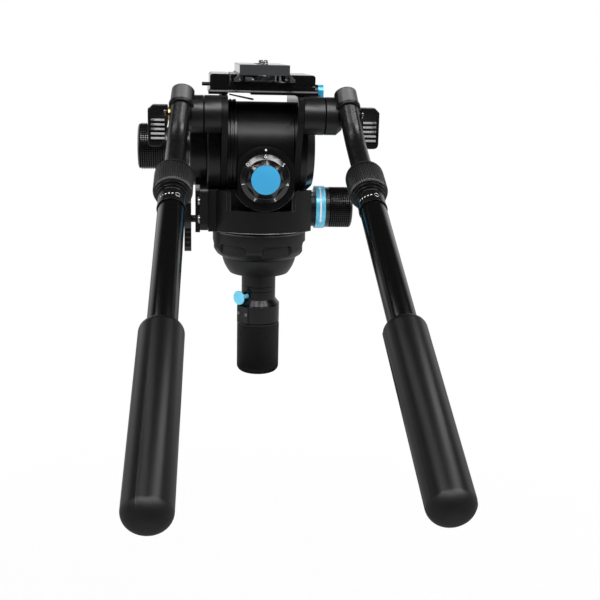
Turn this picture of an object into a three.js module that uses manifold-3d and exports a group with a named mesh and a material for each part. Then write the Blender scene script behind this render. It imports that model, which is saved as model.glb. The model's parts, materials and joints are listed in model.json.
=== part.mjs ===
// Two-handle fluid video head on a half ball, head level, handles towards the operator.
// Millimetres. Origin at the centre of the half ball on the pan axis, +Z up, +Y forward
// (away from the operator), +X to the operator's right.
import * as THREE from "three";
import { mergeVertices } from "three/addons/utils/BufferGeometryUtils.js";
import Module from "manifold-3d";

const wasm = await Module();
wasm.setup();

// Fits and cutting
const gap = 0.3;
const toothGap = 0.45;
const overrun = 1;
const bigSides = 36;
const midSides = 24;
const smallSides = 14;
const tinySides = 10;

// Half ball, the fixed part that sits in the tripod bowl
const ballRadius = 37.5;
const ballCutDepth = 23.5;
const flangeRadius = 46;
const flangeTop = 21.3;
const flangeSkirtEnd = 2;
const shoulderDrop = 6;
const shoulderNeckRadius = 37.6;
const flangeChamfer = 1;
const pocketCount = 6;
const pocketDegrees = 40;
const pocketStartDegrees = -150;
const pocketFloorRadius = 43.4;
const pocketTop = 9;

// Pan spindle through the base
const spindleRadius = 10;
const spindleSeatDepth = 15;
const spindleHeadRadius = 17;
const spindleHeadThickness = 6;

// Tie-down under the ball
const studRadius = 6;
const studSeatDepth = 18;
const neckRadius = 17;
const neckLength = 26.6;
const neckConeLength = 5.1;
const collarRadius = 21.2;
const collarLength = 18.6;
const collarChamfer = 0.8;
const lugReach = 22.3;
const lugWidth = 15;
const tieKnobRadius = 21.3;
const tieKnobLength = 52.5;
const tieKnobRound = 6;
const tieKnobFloor = 7;

// Blue release button beside the neck, pointing left and to the rear
const buttonDegrees = 50;
const buttonDrop = 23.2;
const buttonRadius = 7;
const buttonThickness = 2.3;
const buttonStandOff = 10.8;
const buttonStemRadius = 2.2;
const buttonStemLength = 13;
const buttonWellRadius = 5;
const buttonWellDepth = 2.6;

// Pan base
const baseLift = 1.2;
const baseHeight = 40;
const baseRear = 56;
const baseFront = 46;
const baseLeft = 51;
const baseRight = 48.5;
const baseRearArcRadius = 75;
const baseRearArcHalfWidth = 40;
const baseCorner = 12;
const baseLeftStep = 7.6;
const baseLeftStepPlace = 34;
const baseCavityRadius = 38;
const baseCavityHeight = 15.5;
const baseWebThickness = 9.5;
const nutWellRadius = 19;
const recessLeft = 33;
const recessRight = 31;
const bearingInnerRadius = 12;
const bearingThickness = 4;
const panDiscThickness = 9;

// Side cover with the pan lock at the left of the base
const coverThickness = 7.4;
const coverRear = 42;
const coverFront = 34;
const coverLift = 1.5;
const coverHeight = 42;
const coverCorner = 7;
const coverPadThickness = 4.5;
const coverPadRear = 24;
const coverPadFront = 28;
const coverPadDrop = 4;
const coverPadHeight = 40;
const coverScrewRadius = 4;
const coverScrewHead = 1.8;
const coverScrewPlace = 35;
const coverScrewRises = [28, 10.8];

// Pan lock lever
const lockRise = 9.4;
const lockPlace = 0;
const lockHubRadius = 7.2;
const lockHeadRadius = 7;
const lockHeadRise = 14;
const lockTailDrop = 27;
const lockTailRadius = 5.6;
const lockThickness = 6.8;
const lockStandOff = 4;
const lockShaftRadius = 3.6;
const lockShaftDepth = 7;

// Pan drag knob at the right
const panKnobRise = 19.3;
const panNeckRadius = 19;
const panNeckLength = 5.3;
const panRingRadius = 21;
const panRingWidth = 9.7;
const panKnobRadius = 20;
const panKnobWidth = 26.5;
const panKnobShaftRadius = 6;
const panKnobShaftReach = 12;
const knobChamfer = 1.2;

// Central block: drum, foot and rear boss
const tiltRise = 37.5;
const drumRadius = 44;
const blockLeft = 23.9;
const blockRight = 29.3;
const blockFootFront = 36;
const blockBoreRadius = 34;
const blockWeb = 5;
const bossRadius = 30.4;
const bossOffset = 1.5;
const bossDrop = 25;
const bossFace = 52;
const bossDepth = 22;
const bossEdge = 1.2;
const ringFlangeRadius = 46;
const ringFlangeWidth = 9;
const ringFlangeWeb = 4;

// Counterbalance dial on the boss
const dialRise = 1;
const dialRadius = 23.3;
const dialBandWidth = 2.4;
const dialConeWidth = 5;
const dialFaceRadius = 18.4;
const dialShaftRadius = 5;
const dialShaftDepth = 14;
const dialKnobRadius = 15.8;
const dialKnobLobe = 1.1;
const dialLobes = 7;
const dialKnobWidth = 3.4;
const dialDiscRadius = 14;
const dialDiscThickness = 1;

// Tilt axle, its spring, bushes and drag disc
const axleRadius = 9;
const axleLeftEntry = 4.7;
const axleRightCover = 2.8;
const bushRadius = 14;
const springRadius = 21;
const springWire = 2.2;
const springTurns = 4;
const dragDiscRadius = 35.6;
const dragDiscThickness = 7;

// Tilting frame: cheeks and disc covers
const cheekThickness = 5.6;
const coverDiscRadius = 44;
const leftDiscWidth = 12.6;
const leftDiscFace = 3.6;
const dragHousingRadius = 37;
const dragHousingWidth = 16.1;
const rightDiscWidth = 14.3;
const rightDiscShoulder = 6.5;
const rightDiscFaceRadius = 38.5;
const discChamfer = 1.5;

// Tilt drag knob at the left
const tiltKnobRadius = 22;
const tiltKnobWidth = 26.5;
const tiltKnobHubRadius = 18.5;
const tiltKnobHubWidth = 22.3;
const tiltKnobShaftRadius = 5;
const tiltKnobShaftLength = 9;

// Platform on the cheeks
const platformRear = 42;
const platformFront = 48;
const platformHalfWidth = 50.9;
const platformRise = 52;
const platformFlange = 4.2;
const platformDeckRise = 8;
const platformFloorRise = 3.3;
const platformReliefLeft = 33;
const platformReliefRight = 12;
const platformReliefHeight = 3.8;
const railRise = 10.4;
const leftRailOuter = 49.5;
const leftRailInner = 31.6;
const rightRailOuter = 47.9;
const railChamfer = 1.6;
const jawOuter = 30.2;
const dovetailGap = 0.45;

// Quick-release plate
const plateRear = 54;
const plateLength = 125;
const plateLift = 0.4;
const plateThickness = 15.6;
const plateHalfWidth = 22.9;
const plateFootHalfWidth = 28;
const plateLipHeight = 2.2;
const plateFlankHeight = 5.6;
const plateChannelHalfWidth = 19.5;
const plateChannelHeight = 6;
const plateSlotHalfWidth = 5.1;
const plateSlotRear = 41;
const plateSlotFront = 45;
const cameraScrewRadius = 4.76;
const cameraScrewPlace = -30;
const cameraScrewRise = 4;
const cameraScrewHeadRadius = 9;
const cameraScrewHeadHeight = 4.4;

// Plate lock at the right and safety pin at the left
const plateLockPlace = 5;
const plateLockRise = 2.4;
const plateLockHubRadius = 6.3;
const plateLockHubWidth = 5.2;
const plateLockThickness = 3.3;
const plateLockBossLength = 4.4;
const plateLockArm = 24;
const plateLockTipRadius = 4.6;
const plateLockShaftRadius = 3;
const plateLockShaftDepth = 10;
const plateLockBossRadius = 6.5;
const plateLockBossInner = 38;
const pinRadius = 1.75;
const pinPlace = -30;
const pinRise = 4.3;
const pinStandOff = 7.3;
const pinDepth = 9;
const pinTravel = 2.5;

// Handle clamps on the rosettes
const rosetteRadius = 17.3;
const rosettePlace = -53;
const rosetteRise = 34.3;
const rosetteReach = 54.7;
const armBarrelLength = 12.3;
const armNeckRadius = 13;
const armNeckWidth = 4;
const armEyeRadius = 8.5;
const armEyeLength = 14;
const clampStudRadius = 4;
const clampStudEntry = 7.4;
const washerRadius = 6.4;
const washerWidth = 2;
const leverWidth = 18;
const leverHubRadius = 8.6;
const leverThickness = 8.6;
const leverDrop = 29;
const leverCorner = 4.5;
const socketRadius = 10.4;
const socketLength = 21;
const socketDome = 5;
const socketDepth = 15;

// Handle line: the mouth of the socket, the bend and the straight run
const mouthSide = 8.2;
const mouthBack = 12.8;
const mouthRise = 9.3;
const bendSide = 3.8;
const bendBack = 22.2;
const bendDrop = 28.4;
const handleSlopeDegrees = 29.2;
const handleSplayDegrees = 1.95;
const bendRadius = 75;
const bendSteps = 5;
const upperTubeRadius = 9;
const tubeWall = 1.5;
const upperTubeRun = 145;

// Sliding lower handle, distances along the straight run from the bend point
const lowerTubeRadius = 11.15;
const lowerTubeLap = 10;
const twistCollarStart = 50;
const twistCollarLength = 30;
const twistCollarRadius = 16.5;
const twistCollarRound = 1.8;
const markStepRadii = [14.6, 13.2, 12];
const markStepLengths = [2.6, 3, 16];
const gripStart = 236;
const gripLength = 163;
const gripRadius = 16.5;
const gripFloor = 6;
const gripStartRound = 4;
const gripEndRound = 9;
const roundSteps = 3;

// Places worked out from the sizes above
const baseBottom = flangeTop + baseLift;
const baseTop = baseBottom + baseHeight;
const tiltHeight = baseTop + tiltRise;
const bossHeight = tiltHeight - bossDrop;
const dialHeight = bossHeight + dialRise;
const panKnobHeight = baseBottom + panKnobRise;
const panNeckReach = baseRight + panNeckLength;
const blockFloor = baseTop + gap;
const ringFlangeLeft = blockLeft + gap + ringFlangeWidth;
const leftCheekInner = ringFlangeLeft + gap;
const leftCheekOuter = leftCheekInner + cheekThickness;
const rightCheekInner = blockRight + gap;
const rightCheekOuter = rightCheekInner + cheekThickness;
const leftDiscInner = leftCheekOuter + gap;
const leftDiscOuter = leftDiscInner + leftDiscWidth;
const dragHousingInner = leftDiscOuter + gap;
const dragHousingOuter = dragHousingInner + dragHousingWidth;
const rightDiscInner = rightCheekOuter + gap;
const rightDiscOuter = rightDiscInner + rightDiscWidth;
const coverInner = baseLeft + gap;
const coverOuter = coverInner + coverThickness;
const coverPadReach = coverOuter + coverPadThickness;
const coverBottom = baseBottom + coverLift;
const coverTop = coverBottom + coverHeight;
const coverPadBottom = coverBottom - coverPadDrop;
const coverPadTop = coverPadBottom + coverPadHeight;
const lockHeight = coverPadBottom + lockRise;
const axleLeftReach = dragHousingInner + axleLeftEntry;
const axleRightReach = rightDiscOuter - axleRightCover;
const platformBottom = tiltHeight + platformRise;
const platformDeck = platformBottom + platformDeckRise;
const platformFloor = platformDeck + platformFloorRise;
const railTop = platformDeck + railRise;
const leftRailBottom = platformBottom + platformFlange + gap;
const pinHeight = leftRailBottom + pinRise;
const pinReach = leftRailOuter + pinStandOff;
const plateBottom = platformFloor + plateLift;
const plateTop = plateBottom + plateThickness;
const plateLockHeight = platformBottom + plateLockRise;
const plateLockBossReach = platformHalfWidth + plateLockBossLength;
const plateShelf = plateBottom + plateChannelHeight;
const neckTop = -(ballCutDepth + gap);
const buttonHeight = neckTop - buttonDrop;
const buttonReach = neckRadius + buttonStandOff;
const collarTop = neckTop - neckLength - neckConeLength - gap;
const tieKnobTop = collarTop - collarLength - gap;
const tieKnobBottom = tieKnobTop - tieKnobLength;
const panRingInner = panNeckReach + gap;
const panKnobInner = panRingInner + panRingWidth + gap;
const bossFloor = bossHeight - bossRadius;
const rosetteHeight = tiltHeight + rosetteRise;
const armReach = rosetteReach + armBarrelLength;
const armEyeReach = armReach + armNeckWidth + armEyeLength;
const leverInner = armEyeReach + gap + washerWidth + gap;
const leverOuter = leverInner + leverWidth;
const clampStudReach = leverInner + clampStudEntry;
const lowerTubeStart = twistCollarStart + lowerTubeLap;
const lowerTubeEnd = gripStart + gripLength - gripFloor;
const markRingStart = twistCollarStart + twistCollarLength + gap;
const mouthPoint = new THREE.Vector3(
  armReach + mouthSide,
  rosettePlace - mouthBack,
  rosetteHeight + mouthRise,
);
const bendStart = new THREE.Vector3(bendSide, -bendBack, -bendDrop);
const bendPoint = mouthPoint.clone().add(bendStart);
const handleSlope = THREE.MathUtils.degToRad(handleSlopeDegrees);
const handleSplay = THREE.MathUtils.degToRad(handleSplayDegrees);
const socketLine = bendStart.clone().normalize();
const handleLine = new THREE.Vector3(
  Math.sin(handleSplay),
  -Math.cos(handleSplay) * Math.cos(handleSlope),
  -Math.cos(handleSplay) * Math.sin(handleSlope),
);

const X = new THREE.Vector3(1, 0, 0);
const Y = new THREE.Vector3(0, 1, 0);
const Z = new THREE.Vector3(0, 0, 1);
const tiltAxis = new THREE.Vector3(0, 0, tiltHeight);
const boltAxis = new THREE.Vector3(0, rosettePlace, rosetteHeight);

// Materials, from the photograph
const paint = { color: 0x161617, roughness: 0.42, metalness: 0.1 };
const satin = { color: 0x121213, roughness: 0.34, metalness: 0.25 };
const anodised = { color: 0x0c0c0e, roughness: 0.22, metalness: 0.6 };
const plastic = { color: 0x111112, roughness: 0.5, metalness: 0 };
const rubber = { color: 0x0e0e0f, roughness: 0.78, metalness: 0 };
const plateGrey = { color: 0x3a3b3d, roughness: 0.45, metalness: 0.5 };
const blue = { color: 0x1f9ad6, roughness: 0.3, metalness: 0.5 };
const steel = { color: 0xb9bcbf, roughness: 0.3, metalness: 1 };
const brass = { color: 0xc9a35a, roughness: 0.3, metalness: 1 };

const head = new THREE.Group();

// Turns a three.js geometry into a closed solid, faces outwards
function solid(geometry) {
  const bare = geometry.clone();
  bare.deleteAttribute("normal");
  bare.deleteAttribute("uv");
  const merged = mergeVertices(bare);
  const points = merged.getAttribute("position").array;
  const corners = [];
  const source = merged.index.array;
  for (let i = 0; i < source.length; i += 3) {
    const [a, b, c] = source.slice(i, i + 3);
    if (a !== b && b !== c && c !== a) corners.push(a, b, c);
  }
  if (signedVolume(points, corners) < 0) corners.reverse();
  return new wasm.Manifold(new wasm.Mesh({
    numProp: 3,
    vertProperties: new Float32Array(points),
    triVerts: new Uint32Array(corners),
  }));
}

function signedVolume(points, corners) {
  const [a, b, c] = [new THREE.Vector3(), new THREE.Vector3(), new THREE.Vector3()];
  let sum = 0;
  for (let i = 0; i < corners.length; i += 3) {
    a.fromArray(points, 3 * corners[i]);
    b.fromArray(points, 3 * corners[i + 1]);
    c.fromArray(points, 3 * corners[i + 2]);
    sum += a.dot(b.cross(c));
  }
  return sum;
}

// Adds one named mesh; the left copy of a handed piece is mirrored across the pan axis
function piece(name, shape, look, handed = 1) {
  const { vertProperties, triVerts } = shape.getMesh();
  const geometry = new THREE.BufferGeometry();
  geometry.setAttribute("position", new THREE.BufferAttribute(new Float32Array(vertProperties), 3));
  const corners = Array.from(triVerts);
  if (handed < 0) {
    geometry.scale(-1, 1, 1);
    corners.reverse();
  }
  geometry.setIndex(corners);
  geometry.computeVertexNormals();
  const mesh = new THREE.Mesh(geometry, new THREE.MeshStandardMaterial(look));
  mesh.name = name;
  head.add(mesh);
}

// A geometry made along +Y is turned onto an axis and moved to a place
function place(geometry, axis, origin) {
  const turn = new THREE.Quaternion().setFromUnitVectors(Y, axis);
  geometry.applyQuaternion(turn);
  geometry.translate(origin.x, origin.y, origin.z);
  return geometry;
}

// Round bar between two stations on an axis
function bar(axis, radius, from, to, origin, sides = midSides) {
  const geometry = new THREE.CylinderGeometry(radius, radius, Math.abs(to - from), sides);
  geometry.translate(0, (from + to) / 2, 0);
  return solid(place(geometry, axis, origin));
}

// Turned solid from a profile of [radius, station] pairs
function turned(axis, profile, origin, sides = midSides) {
  const points = profile.map(([radius, station]) => new THREE.Vector2(radius, station));
  return solid(place(new THREE.LatheGeometry(points, sides), axis, origin));
}

function box(x0, x1, y0, y1, z0, z1) {
  const geometry = new THREE.BoxGeometry(x1 - x0, y1 - y0, z1 - z0);
  geometry.translate((x0 + x1) / 2, (y0 + y1) / 2, (z0 + z1) / 2);
  return solid(geometry);
}

function outline(points) {
  return new THREE.Shape(points.map(([a, b]) => new THREE.Vector2(a, b)));
}

// Extrusions of flat outlines: an (x, y) outline along Z, (y, z) along X, (x, z) along Y
const bases = {
  z: new THREE.Matrix4().makeBasis(X, Y, Z),
  x: new THREE.Matrix4().makeBasis(Y, Z, X),
  y: new THREE.Matrix4().makeBasis(X, Z, Y.clone().negate()),
};

function slab(direction, shape, from, to, curveSegments = tinySides) {
  const depth = to - from;
  const geometry = new THREE.ExtrudeGeometry(shape, { depth, bevelEnabled: false, curveSegments });
  const start = direction === "y" ? -to : from;
  geometry.translate(0, 0, start);
  geometry.applyMatrix4(bases[direction]);
  return solid(geometry);
}

// Quarter arc for a turned profile, from (r0, s0) to (r1, s1) about a centre, in equal steps
function arcPoints(centreRadius, centreStation, radius, fromDegrees, toDegrees, steps = roundSteps) {
  const points = [];
  for (let i = 0; i <= steps; i += 1) {
    const angle = THREE.MathUtils.degToRad(fromDegrees + ((toDegrees - fromDegrees) * i) / steps);
    points.push([centreRadius + radius * Math.cos(angle), centreStation + radius * Math.sin(angle)]);
  }
  return points;
}

// Outer hull of round ends, as a list of points
function hull(circles) {
  const points = [];
  for (const [a, b, radius] of circles) {
    for (let i = 0; i < bigSides; i += 1) {
      const angle = (2 * Math.PI * i) / bigSides;
      points.push([a + radius * Math.cos(angle), b + radius * Math.sin(angle)]);
    }
  }
  points.sort((p, q) => p[0] - q[0] || p[1] - q[1]);
  return [...halfHull(points), ...halfHull(points.reverse())];
}

function halfHull(points) {
  const chain = [];
  for (const p of points) {
    while (chain.length > 1 && cross(chain.at(-2), chain.at(-1), p) <= 0) chain.pop();
    chain.push(p);
  }
  return chain.slice(0, -1);
}

function cross(o, a, b) {
  return (a[0] - o[0]) * (b[1] - o[1]) - (a[1] - o[1]) * (b[0] - o[0]);
}

// Half ball and what is fixed to it

function halfBall() {
  const cutAngle = THREE.MathUtils.radToDeg(Math.asin(ballCutDepth / ballRadius));
  const shoulderEnd = flangeSkirtEnd - shoulderDrop;
  const shoulderWidth = flangeRadius - shoulderNeckRadius;
  const topAngle = THREE.MathUtils.radToDeg(Math.asin((shoulderEnd - shoulderDrop / 2) / ballRadius));
  const profile = [
    [0, -ballCutDepth],
    ...arcPoints(0, 0, ballRadius, -cutAngle, topAngle),
    [flangeRadius - shoulderWidth / 2, shoulderEnd],
    [flangeRadius - shoulderWidth / roundSteps, shoulderEnd + shoulderDrop / roundSteps],
    [flangeRadius, flangeSkirtEnd],
    [flangeRadius, flangeTop - flangeChamfer],
    [flangeRadius - flangeChamfer, flangeTop],
    [0, flangeTop],
  ];
  let ball = turned(Z, profile, new THREE.Vector3(), bigSides);
  const pocket = THREE.MathUtils.degToRad(pocketDegrees);
  for (let i = 0; i < pocketCount; i += 1) {
    const start = THREE.MathUtils.degToRad(pocketStartDegrees) + (2 * Math.PI * i) / pocketCount;
    const sector = new THREE.Shape();
    sector.absarc(0, 0, flangeRadius + overrun, start, start + pocket, false);
    sector.absarc(0, 0, pocketFloorRadius, start + pocket, start, true);
    sector.closePath();
    ball = ball.subtract(slab("z", sector, -pocketTop, pocketTop, roundSteps));
  }
  const origin = new THREE.Vector3();
  const seatFloor = flangeTop - spindleSeatDepth - gap;
  const studTop = studSeatDepth - ballCutDepth + gap;
  ball = ball.subtract(bar(Z, spindleRadius + gap, seatFloor, flangeTop + overrun, origin));
  ball = ball.subtract(bar(Z, studRadius + gap, -ballCutDepth - overrun, studTop, origin));
  piece("half_ball", ball, paint);
}

function panSpindle() {
  const headBottom = baseBottom + baseCavityHeight + baseWebThickness + gap;
  const profile = [
    [0, flangeTop - spindleSeatDepth],
    [spindleRadius, flangeTop - spindleSeatDepth],
    [spindleRadius, headBottom],
    [spindleHeadRadius, headBottom],
    [spindleHeadRadius, headBottom + spindleHeadThickness],
    [0, headBottom + spindleHeadThickness],
  ];
  piece("pan_spindle", turned(Z, profile, new THREE.Vector3()), steel);
}

// Direction of the button and the lug, seen from above
function sideLine() {
  const angle = THREE.MathUtils.degToRad(buttonDegrees);
  return new THREE.Vector3(-Math.sin(angle), -Math.cos(angle), 0);
}

function tieDown() {
  const origin = new THREE.Vector3();
  const studTop = studSeatDepth - ballCutDepth;
  const studBottom = tieKnobBottom + tieKnobFloor + gap;
  piece("tie_down_stud", bar(Z, studRadius, studBottom, studTop, origin, smallSides), steel);
  tieNeck(origin);
  tieCollar(origin);
  tieKnob(origin);
}

function tieNeck(origin) {
  const coneTop = neckTop - neckLength;
  const profile = [
    [0, neckTop],
    [neckRadius, neckTop],
    [neckRadius, coneTop],
    [collarRadius, coneTop - neckConeLength],
    [0, coneTop - neckConeLength],
  ];
  const line = sideLine();
  const centre = new THREE.Vector3(0, 0, buttonHeight);
  const well = bar(line, buttonWellRadius, neckRadius - buttonWellDepth, buttonReach, centre, smallSides);
  const hole = bar(line, buttonStemRadius + gap, studRadius + gap + overrun, neckRadius, centre, smallSides);
  const coneEnd = coneTop - neckConeLength;
  const bore = bar(Z, studRadius + gap, coneEnd - overrun, neckTop + overrun, origin, smallSides);
  const neck = turned(Z, profile, origin, bigSides).subtract(well).subtract(hole);
  piece("tie_down_neck", neck.subtract(bore), satin);

  const disc = bar(line, buttonRadius, buttonReach - buttonThickness, buttonReach, centre, smallSides);
  const stemEnd = buttonReach - buttonStemLength;
  const stem = bar(line, buttonStemRadius, stemEnd, buttonReach - gap, centre, tinySides);
  piece("release_button", disc.add(stem), blue);
}

function tieCollar(origin) {
  const bottom = collarTop - collarLength;
  const profile = [
    [0, bottom],
    [collarRadius - collarChamfer, bottom],
    [collarRadius, bottom + collarChamfer],
    [collarRadius, collarTop - collarChamfer],
    [collarRadius - collarChamfer, collarTop],
    [0, collarTop],
  ];
  const [lugBottom, lugTop] = [bottom + collarChamfer, collarTop - collarChamfer];
  const lug = box(-lugWidth / 2, lugWidth / 2, 0, lugReach, lugBottom, lugTop);
  const turn = 180 - buttonDegrees;
  const bore = bar(Z, studRadius + gap, bottom - overrun, collarTop + overrun, origin, smallSides);
  const collar = turned(Z, profile, origin, bigSides).add(lug.rotate([0, 0, turn])).subtract(bore);
  piece("tie_down_collar", collar, satin);
}

function tieKnob(origin) {
  const round = tieKnobRound;
  const profile = [
    [0, tieKnobBottom],
    ...arcPoints(tieKnobRadius - round, tieKnobBottom + round, round, -90, 0),
    [tieKnobRadius, tieKnobTop - collarChamfer],
    [tieKnobRadius - collarChamfer, tieKnobTop],
    [0, tieKnobTop],
  ];
  const boreFloor = tieKnobBottom + tieKnobFloor;
  const bore = bar(Z, studRadius + gap, boreFloor, tieKnobTop + overrun, origin, smallSides);
  piece("tie_down_knob", turned(Z, profile, origin, bigSides).subtract(bore), rubber);
}

// Pan base and what turns with it

function basePlan() {
  const plan = new THREE.Shape();
  const half = Math.asin(baseRearArcHalfWidth / baseRearArcRadius);
  const cornerY = baseRearArcRadius * Math.cos(half) - baseRearArcRadius + baseRear;
  const rear = -Math.PI / 2;
  plan.absarc(0, baseRearArcRadius - baseRear, baseRearArcRadius, rear - half, rear + half, false);
  plan.quadraticCurveTo(baseRight, -cornerY, baseRight, baseCorner - cornerY);
  plan.lineTo(baseRight, baseFront - baseCorner);
  plan.quadraticCurveTo(baseRight, baseFront, baseRight - baseCorner, baseFront);
  plan.lineTo(baseCorner - baseLeft, baseFront);
  plan.quadraticCurveTo(-baseLeft, baseFront, -baseLeft, baseFront - baseCorner);
  plan.lineTo(-baseLeft, -baseLeftStepPlace);
  plan.lineTo(baseLeftStep - baseLeft, -baseLeftStepPlace);
  plan.quadraticCurveTo(baseLeftStep - baseLeft, -cornerY, -baseRearArcHalfWidth, -cornerY);
  return plan;
}

function baseHousing() {
  const origin = new THREE.Vector3();
  const knobAxis = new THREE.Vector3(0, 0, panKnobHeight);
  const trough = ringFlangeRadius + overrun;
  const cavityTop = baseBottom + baseCavityHeight;
  const wellBottom = cavityTop + baseWebThickness;
  const edge = blockLeft + gap / 2;
  let base = slab("z", basePlan(), baseBottom, baseTop, 2 * roundSteps);
  base = base.add(bar(X, panNeckRadius, baseRight - baseCorner, panNeckReach, knobAxis, bigSides));
  base = base.subtract(bar(Z, baseCavityRadius, baseBottom - overrun, cavityTop, origin, bigSides));
  base = base.subtract(bar(Z, spindleRadius + gap, baseBottom, baseTop, origin));
  base = base.subtract(bar(Z, nutWellRadius, wellBottom, baseTop + overrun, origin));
  base = base.subtract(bar(X, trough, -baseLeft - overrun, -edge, tiltAxis, bigSides));
  base = base.subtract(bar(X, trough, blockRight + gap / 2, panNeckReach + overrun, tiltAxis, bigSides));
  const recessBack = bossFace - bossDepth - gap;
  base = base.subtract(box(
    -recessLeft, recessRight, -baseRear - overrun, -recessBack, bossFloor - gap, baseTop + overrun,
  ));
  const shaftHole = panNeckReach - panKnobShaftReach - gap;
  const shaftBore = panKnobShaftRadius + gap;
  base = base.subtract(bar(X, shaftBore, shaftHole, panNeckReach + overrun, knobAxis, smallSides));
  piece("base_housing", base, paint);
}

function panBearing() {
  const seat = flangeTop + gap;
  const outer = baseCavityRadius - gap;
  const rim = (inner, from, to) => [[inner, from], [outer, from], [outer, to], [inner, to], [inner, from]];
  const bearing = turned(Z, rim(bearingInnerRadius, seat, seat + bearingThickness), new THREE.Vector3());
  piece("pan_bearing", bearing, steel);
  const discTop = baseBottom + baseCavityHeight - gap;
  const disc = turned(Z, rim(spindleRadius + gap, discTop - panDiscThickness, discTop), new THREE.Vector3());
  piece("pan_drag_disc", disc, satin);
}

function sideCover() {
  const shape = new THREE.Shape();
  shape.moveTo(-coverRear, coverBottom + coverCorner);
  shape.lineTo(-coverRear, coverTop - coverCorner);
  shape.quadraticCurveTo(-coverRear, coverTop, coverCorner - coverRear, coverTop);
  shape.lineTo(coverFront - coverCorner, coverTop);
  shape.quadraticCurveTo(coverFront, coverTop, coverFront, coverTop - coverCorner);
  shape.lineTo(coverFront, coverBottom + coverCorner);
  shape.lineTo(coverFront - coverCorner, coverBottom);
  shape.lineTo(coverCorner - coverRear, coverBottom);
  let cover = slab("x", shape, -coverOuter, -coverInner);
  const trough = bar(X, coverDiscRadius + overrun, -coverOuter - overrun, 0, tiltAxis, bigSides);
  cover = cover.subtract(trough);
  cover = cover.add(box(
    -coverPadReach, -coverOuter, -coverPadRear, coverPadFront, coverPadBottom, coverPadTop,
  ));
  const lockAxis = new THREE.Vector3(0, lockPlace, lockHeight);
  const seat = lockShaftDepth - coverPadReach + gap;
  const hole = bar(X, lockShaftRadius + gap, -coverPadReach - overrun, seat, lockAxis, smallSides);
  piece("side_cover", cover.subtract(hole), satin);

  coverScrewRises.forEach((rise, i) => {
    const centre = new THREE.Vector3(0, -coverScrewPlace, coverBottom + rise);
    const face = -coverOuter - gap;
    const screw = bar(X, coverScrewRadius, face - coverScrewHead, face, centre, smallSides);
    piece(`side_screw_${i + 1}`, screw, steel);
  });
}

function panLock() {
  const outer = coverPadReach + lockStandOff + lockThickness;
  const inner = coverPadReach + lockStandOff;
  const blade = outline(hull([
    [lockPlace, lockHeight, lockHubRadius],
    [lockPlace, lockHeight + lockHeadRise, lockHeadRadius],
    [lockPlace, lockHeight - lockTailDrop, lockTailRadius],
  ]));
  const axis = new THREE.Vector3(0, lockPlace, lockHeight);
  const shaft = bar(X, lockShaftRadius, -outer + gap, lockShaftDepth - coverPadReach, axis, tinySides);
  piece("pan_lock_lever", slab("x", blade, -outer, -inner).add(shaft), plastic);
}

function panKnob() {
  const axis = new THREE.Vector3(0, 0, panKnobHeight);
  const outer = panKnobInner + panKnobWidth;
  const ringEnd = panRingInner + panRingWidth;
  const bore = panKnobShaftRadius + gap;
  const ring = turned(X, [
    [bore, panRingInner],
    [panRingRadius - gap, panRingInner],
    [panRingRadius, panRingInner + gap],
    [panRingRadius, ringEnd - gap],
    [panRingRadius - gap, ringEnd],
    [bore, ringEnd],
    [bore, panRingInner],
  ], axis, bigSides);
  piece("pan_drag_ring", ring, blue);
  const knob = turned(X, [
    [0, panNeckReach - panKnobShaftReach],
    [panKnobShaftRadius, panNeckReach - panKnobShaftReach],
    [panKnobShaftRadius, panKnobInner],
    [panKnobRadius - knobChamfer, panKnobInner],
    [panKnobRadius, panKnobInner + knobChamfer],
    [panKnobRadius, outer - knobChamfer],
    [panKnobRadius - knobChamfer, outer],
    [0, outer],
  ], axis, bigSides);
  piece("pan_drag_knob", knob, plastic);
}

// Central block on the base

function blockHousing() {
  const foot = box(-blockLeft, blockRight, -drumRadius, blockFootFront, blockFloor, tiltHeight);
  let block = bar(X, drumRadius, -blockLeft, blockRight, tiltAxis, bigSides).add(foot);
  const under = blockFloor - drumRadius;
  block = block.subtract(box(-platformHalfWidth, platformHalfWidth, -baseRear, baseRear, under, blockFloor));
  const bossAxis = new THREE.Vector3(bossOffset, 0, bossHeight);
  const boss = turned(Y, [
    [0, -bossFace],
    [bossRadius - bossEdge, -bossFace],
    [bossRadius, bossEdge - bossFace],
    [bossRadius, bossDepth - bossFace],
    [0, bossDepth - bossFace],
  ], bossAxis, bigSides);
  const bossTop = bossHeight + bossRadius;
  const flats = box(-blockLeft, blockRight, -bossFace, -bossFace + bossDepth, bossFloor, bossTop);
  block = block.add(boss.intersect(flats));
  const boreStart = -blockLeft - overrun;
  block = block.subtract(bar(X, blockBoreRadius, boreStart, blockRight - blockWeb, tiltAxis, bigSides));
  block = block.subtract(bar(X, axleRadius + gap, 0, blockRight + overrun, tiltAxis));
  const dialAxis = new THREE.Vector3(bossOffset, 0, dialHeight);
  const holeEnd = dialShaftDepth - bossFace + gap;
  const hole = bar(Y, dialShaftRadius + gap, -bossFace - overrun, holeEnd, dialAxis, smallSides);
  piece("block_housing", block.subtract(hole), satin);
}

function ringFlange() {
  const left = -ringFlangeLeft;
  const right = left + ringFlangeWidth;
  const profile = [
    [axleRadius + gap, left],
    [ringFlangeRadius, left],
    [ringFlangeRadius, right],
    [blockBoreRadius, right],
    [blockBoreRadius, left + ringFlangeWeb],
    [axleRadius + gap, left + ringFlangeWeb],
    [axleRadius + gap, left],
  ];
  piece("ring_flange", turned(X, profile, tiltAxis, bigSides), satin);
}

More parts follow.
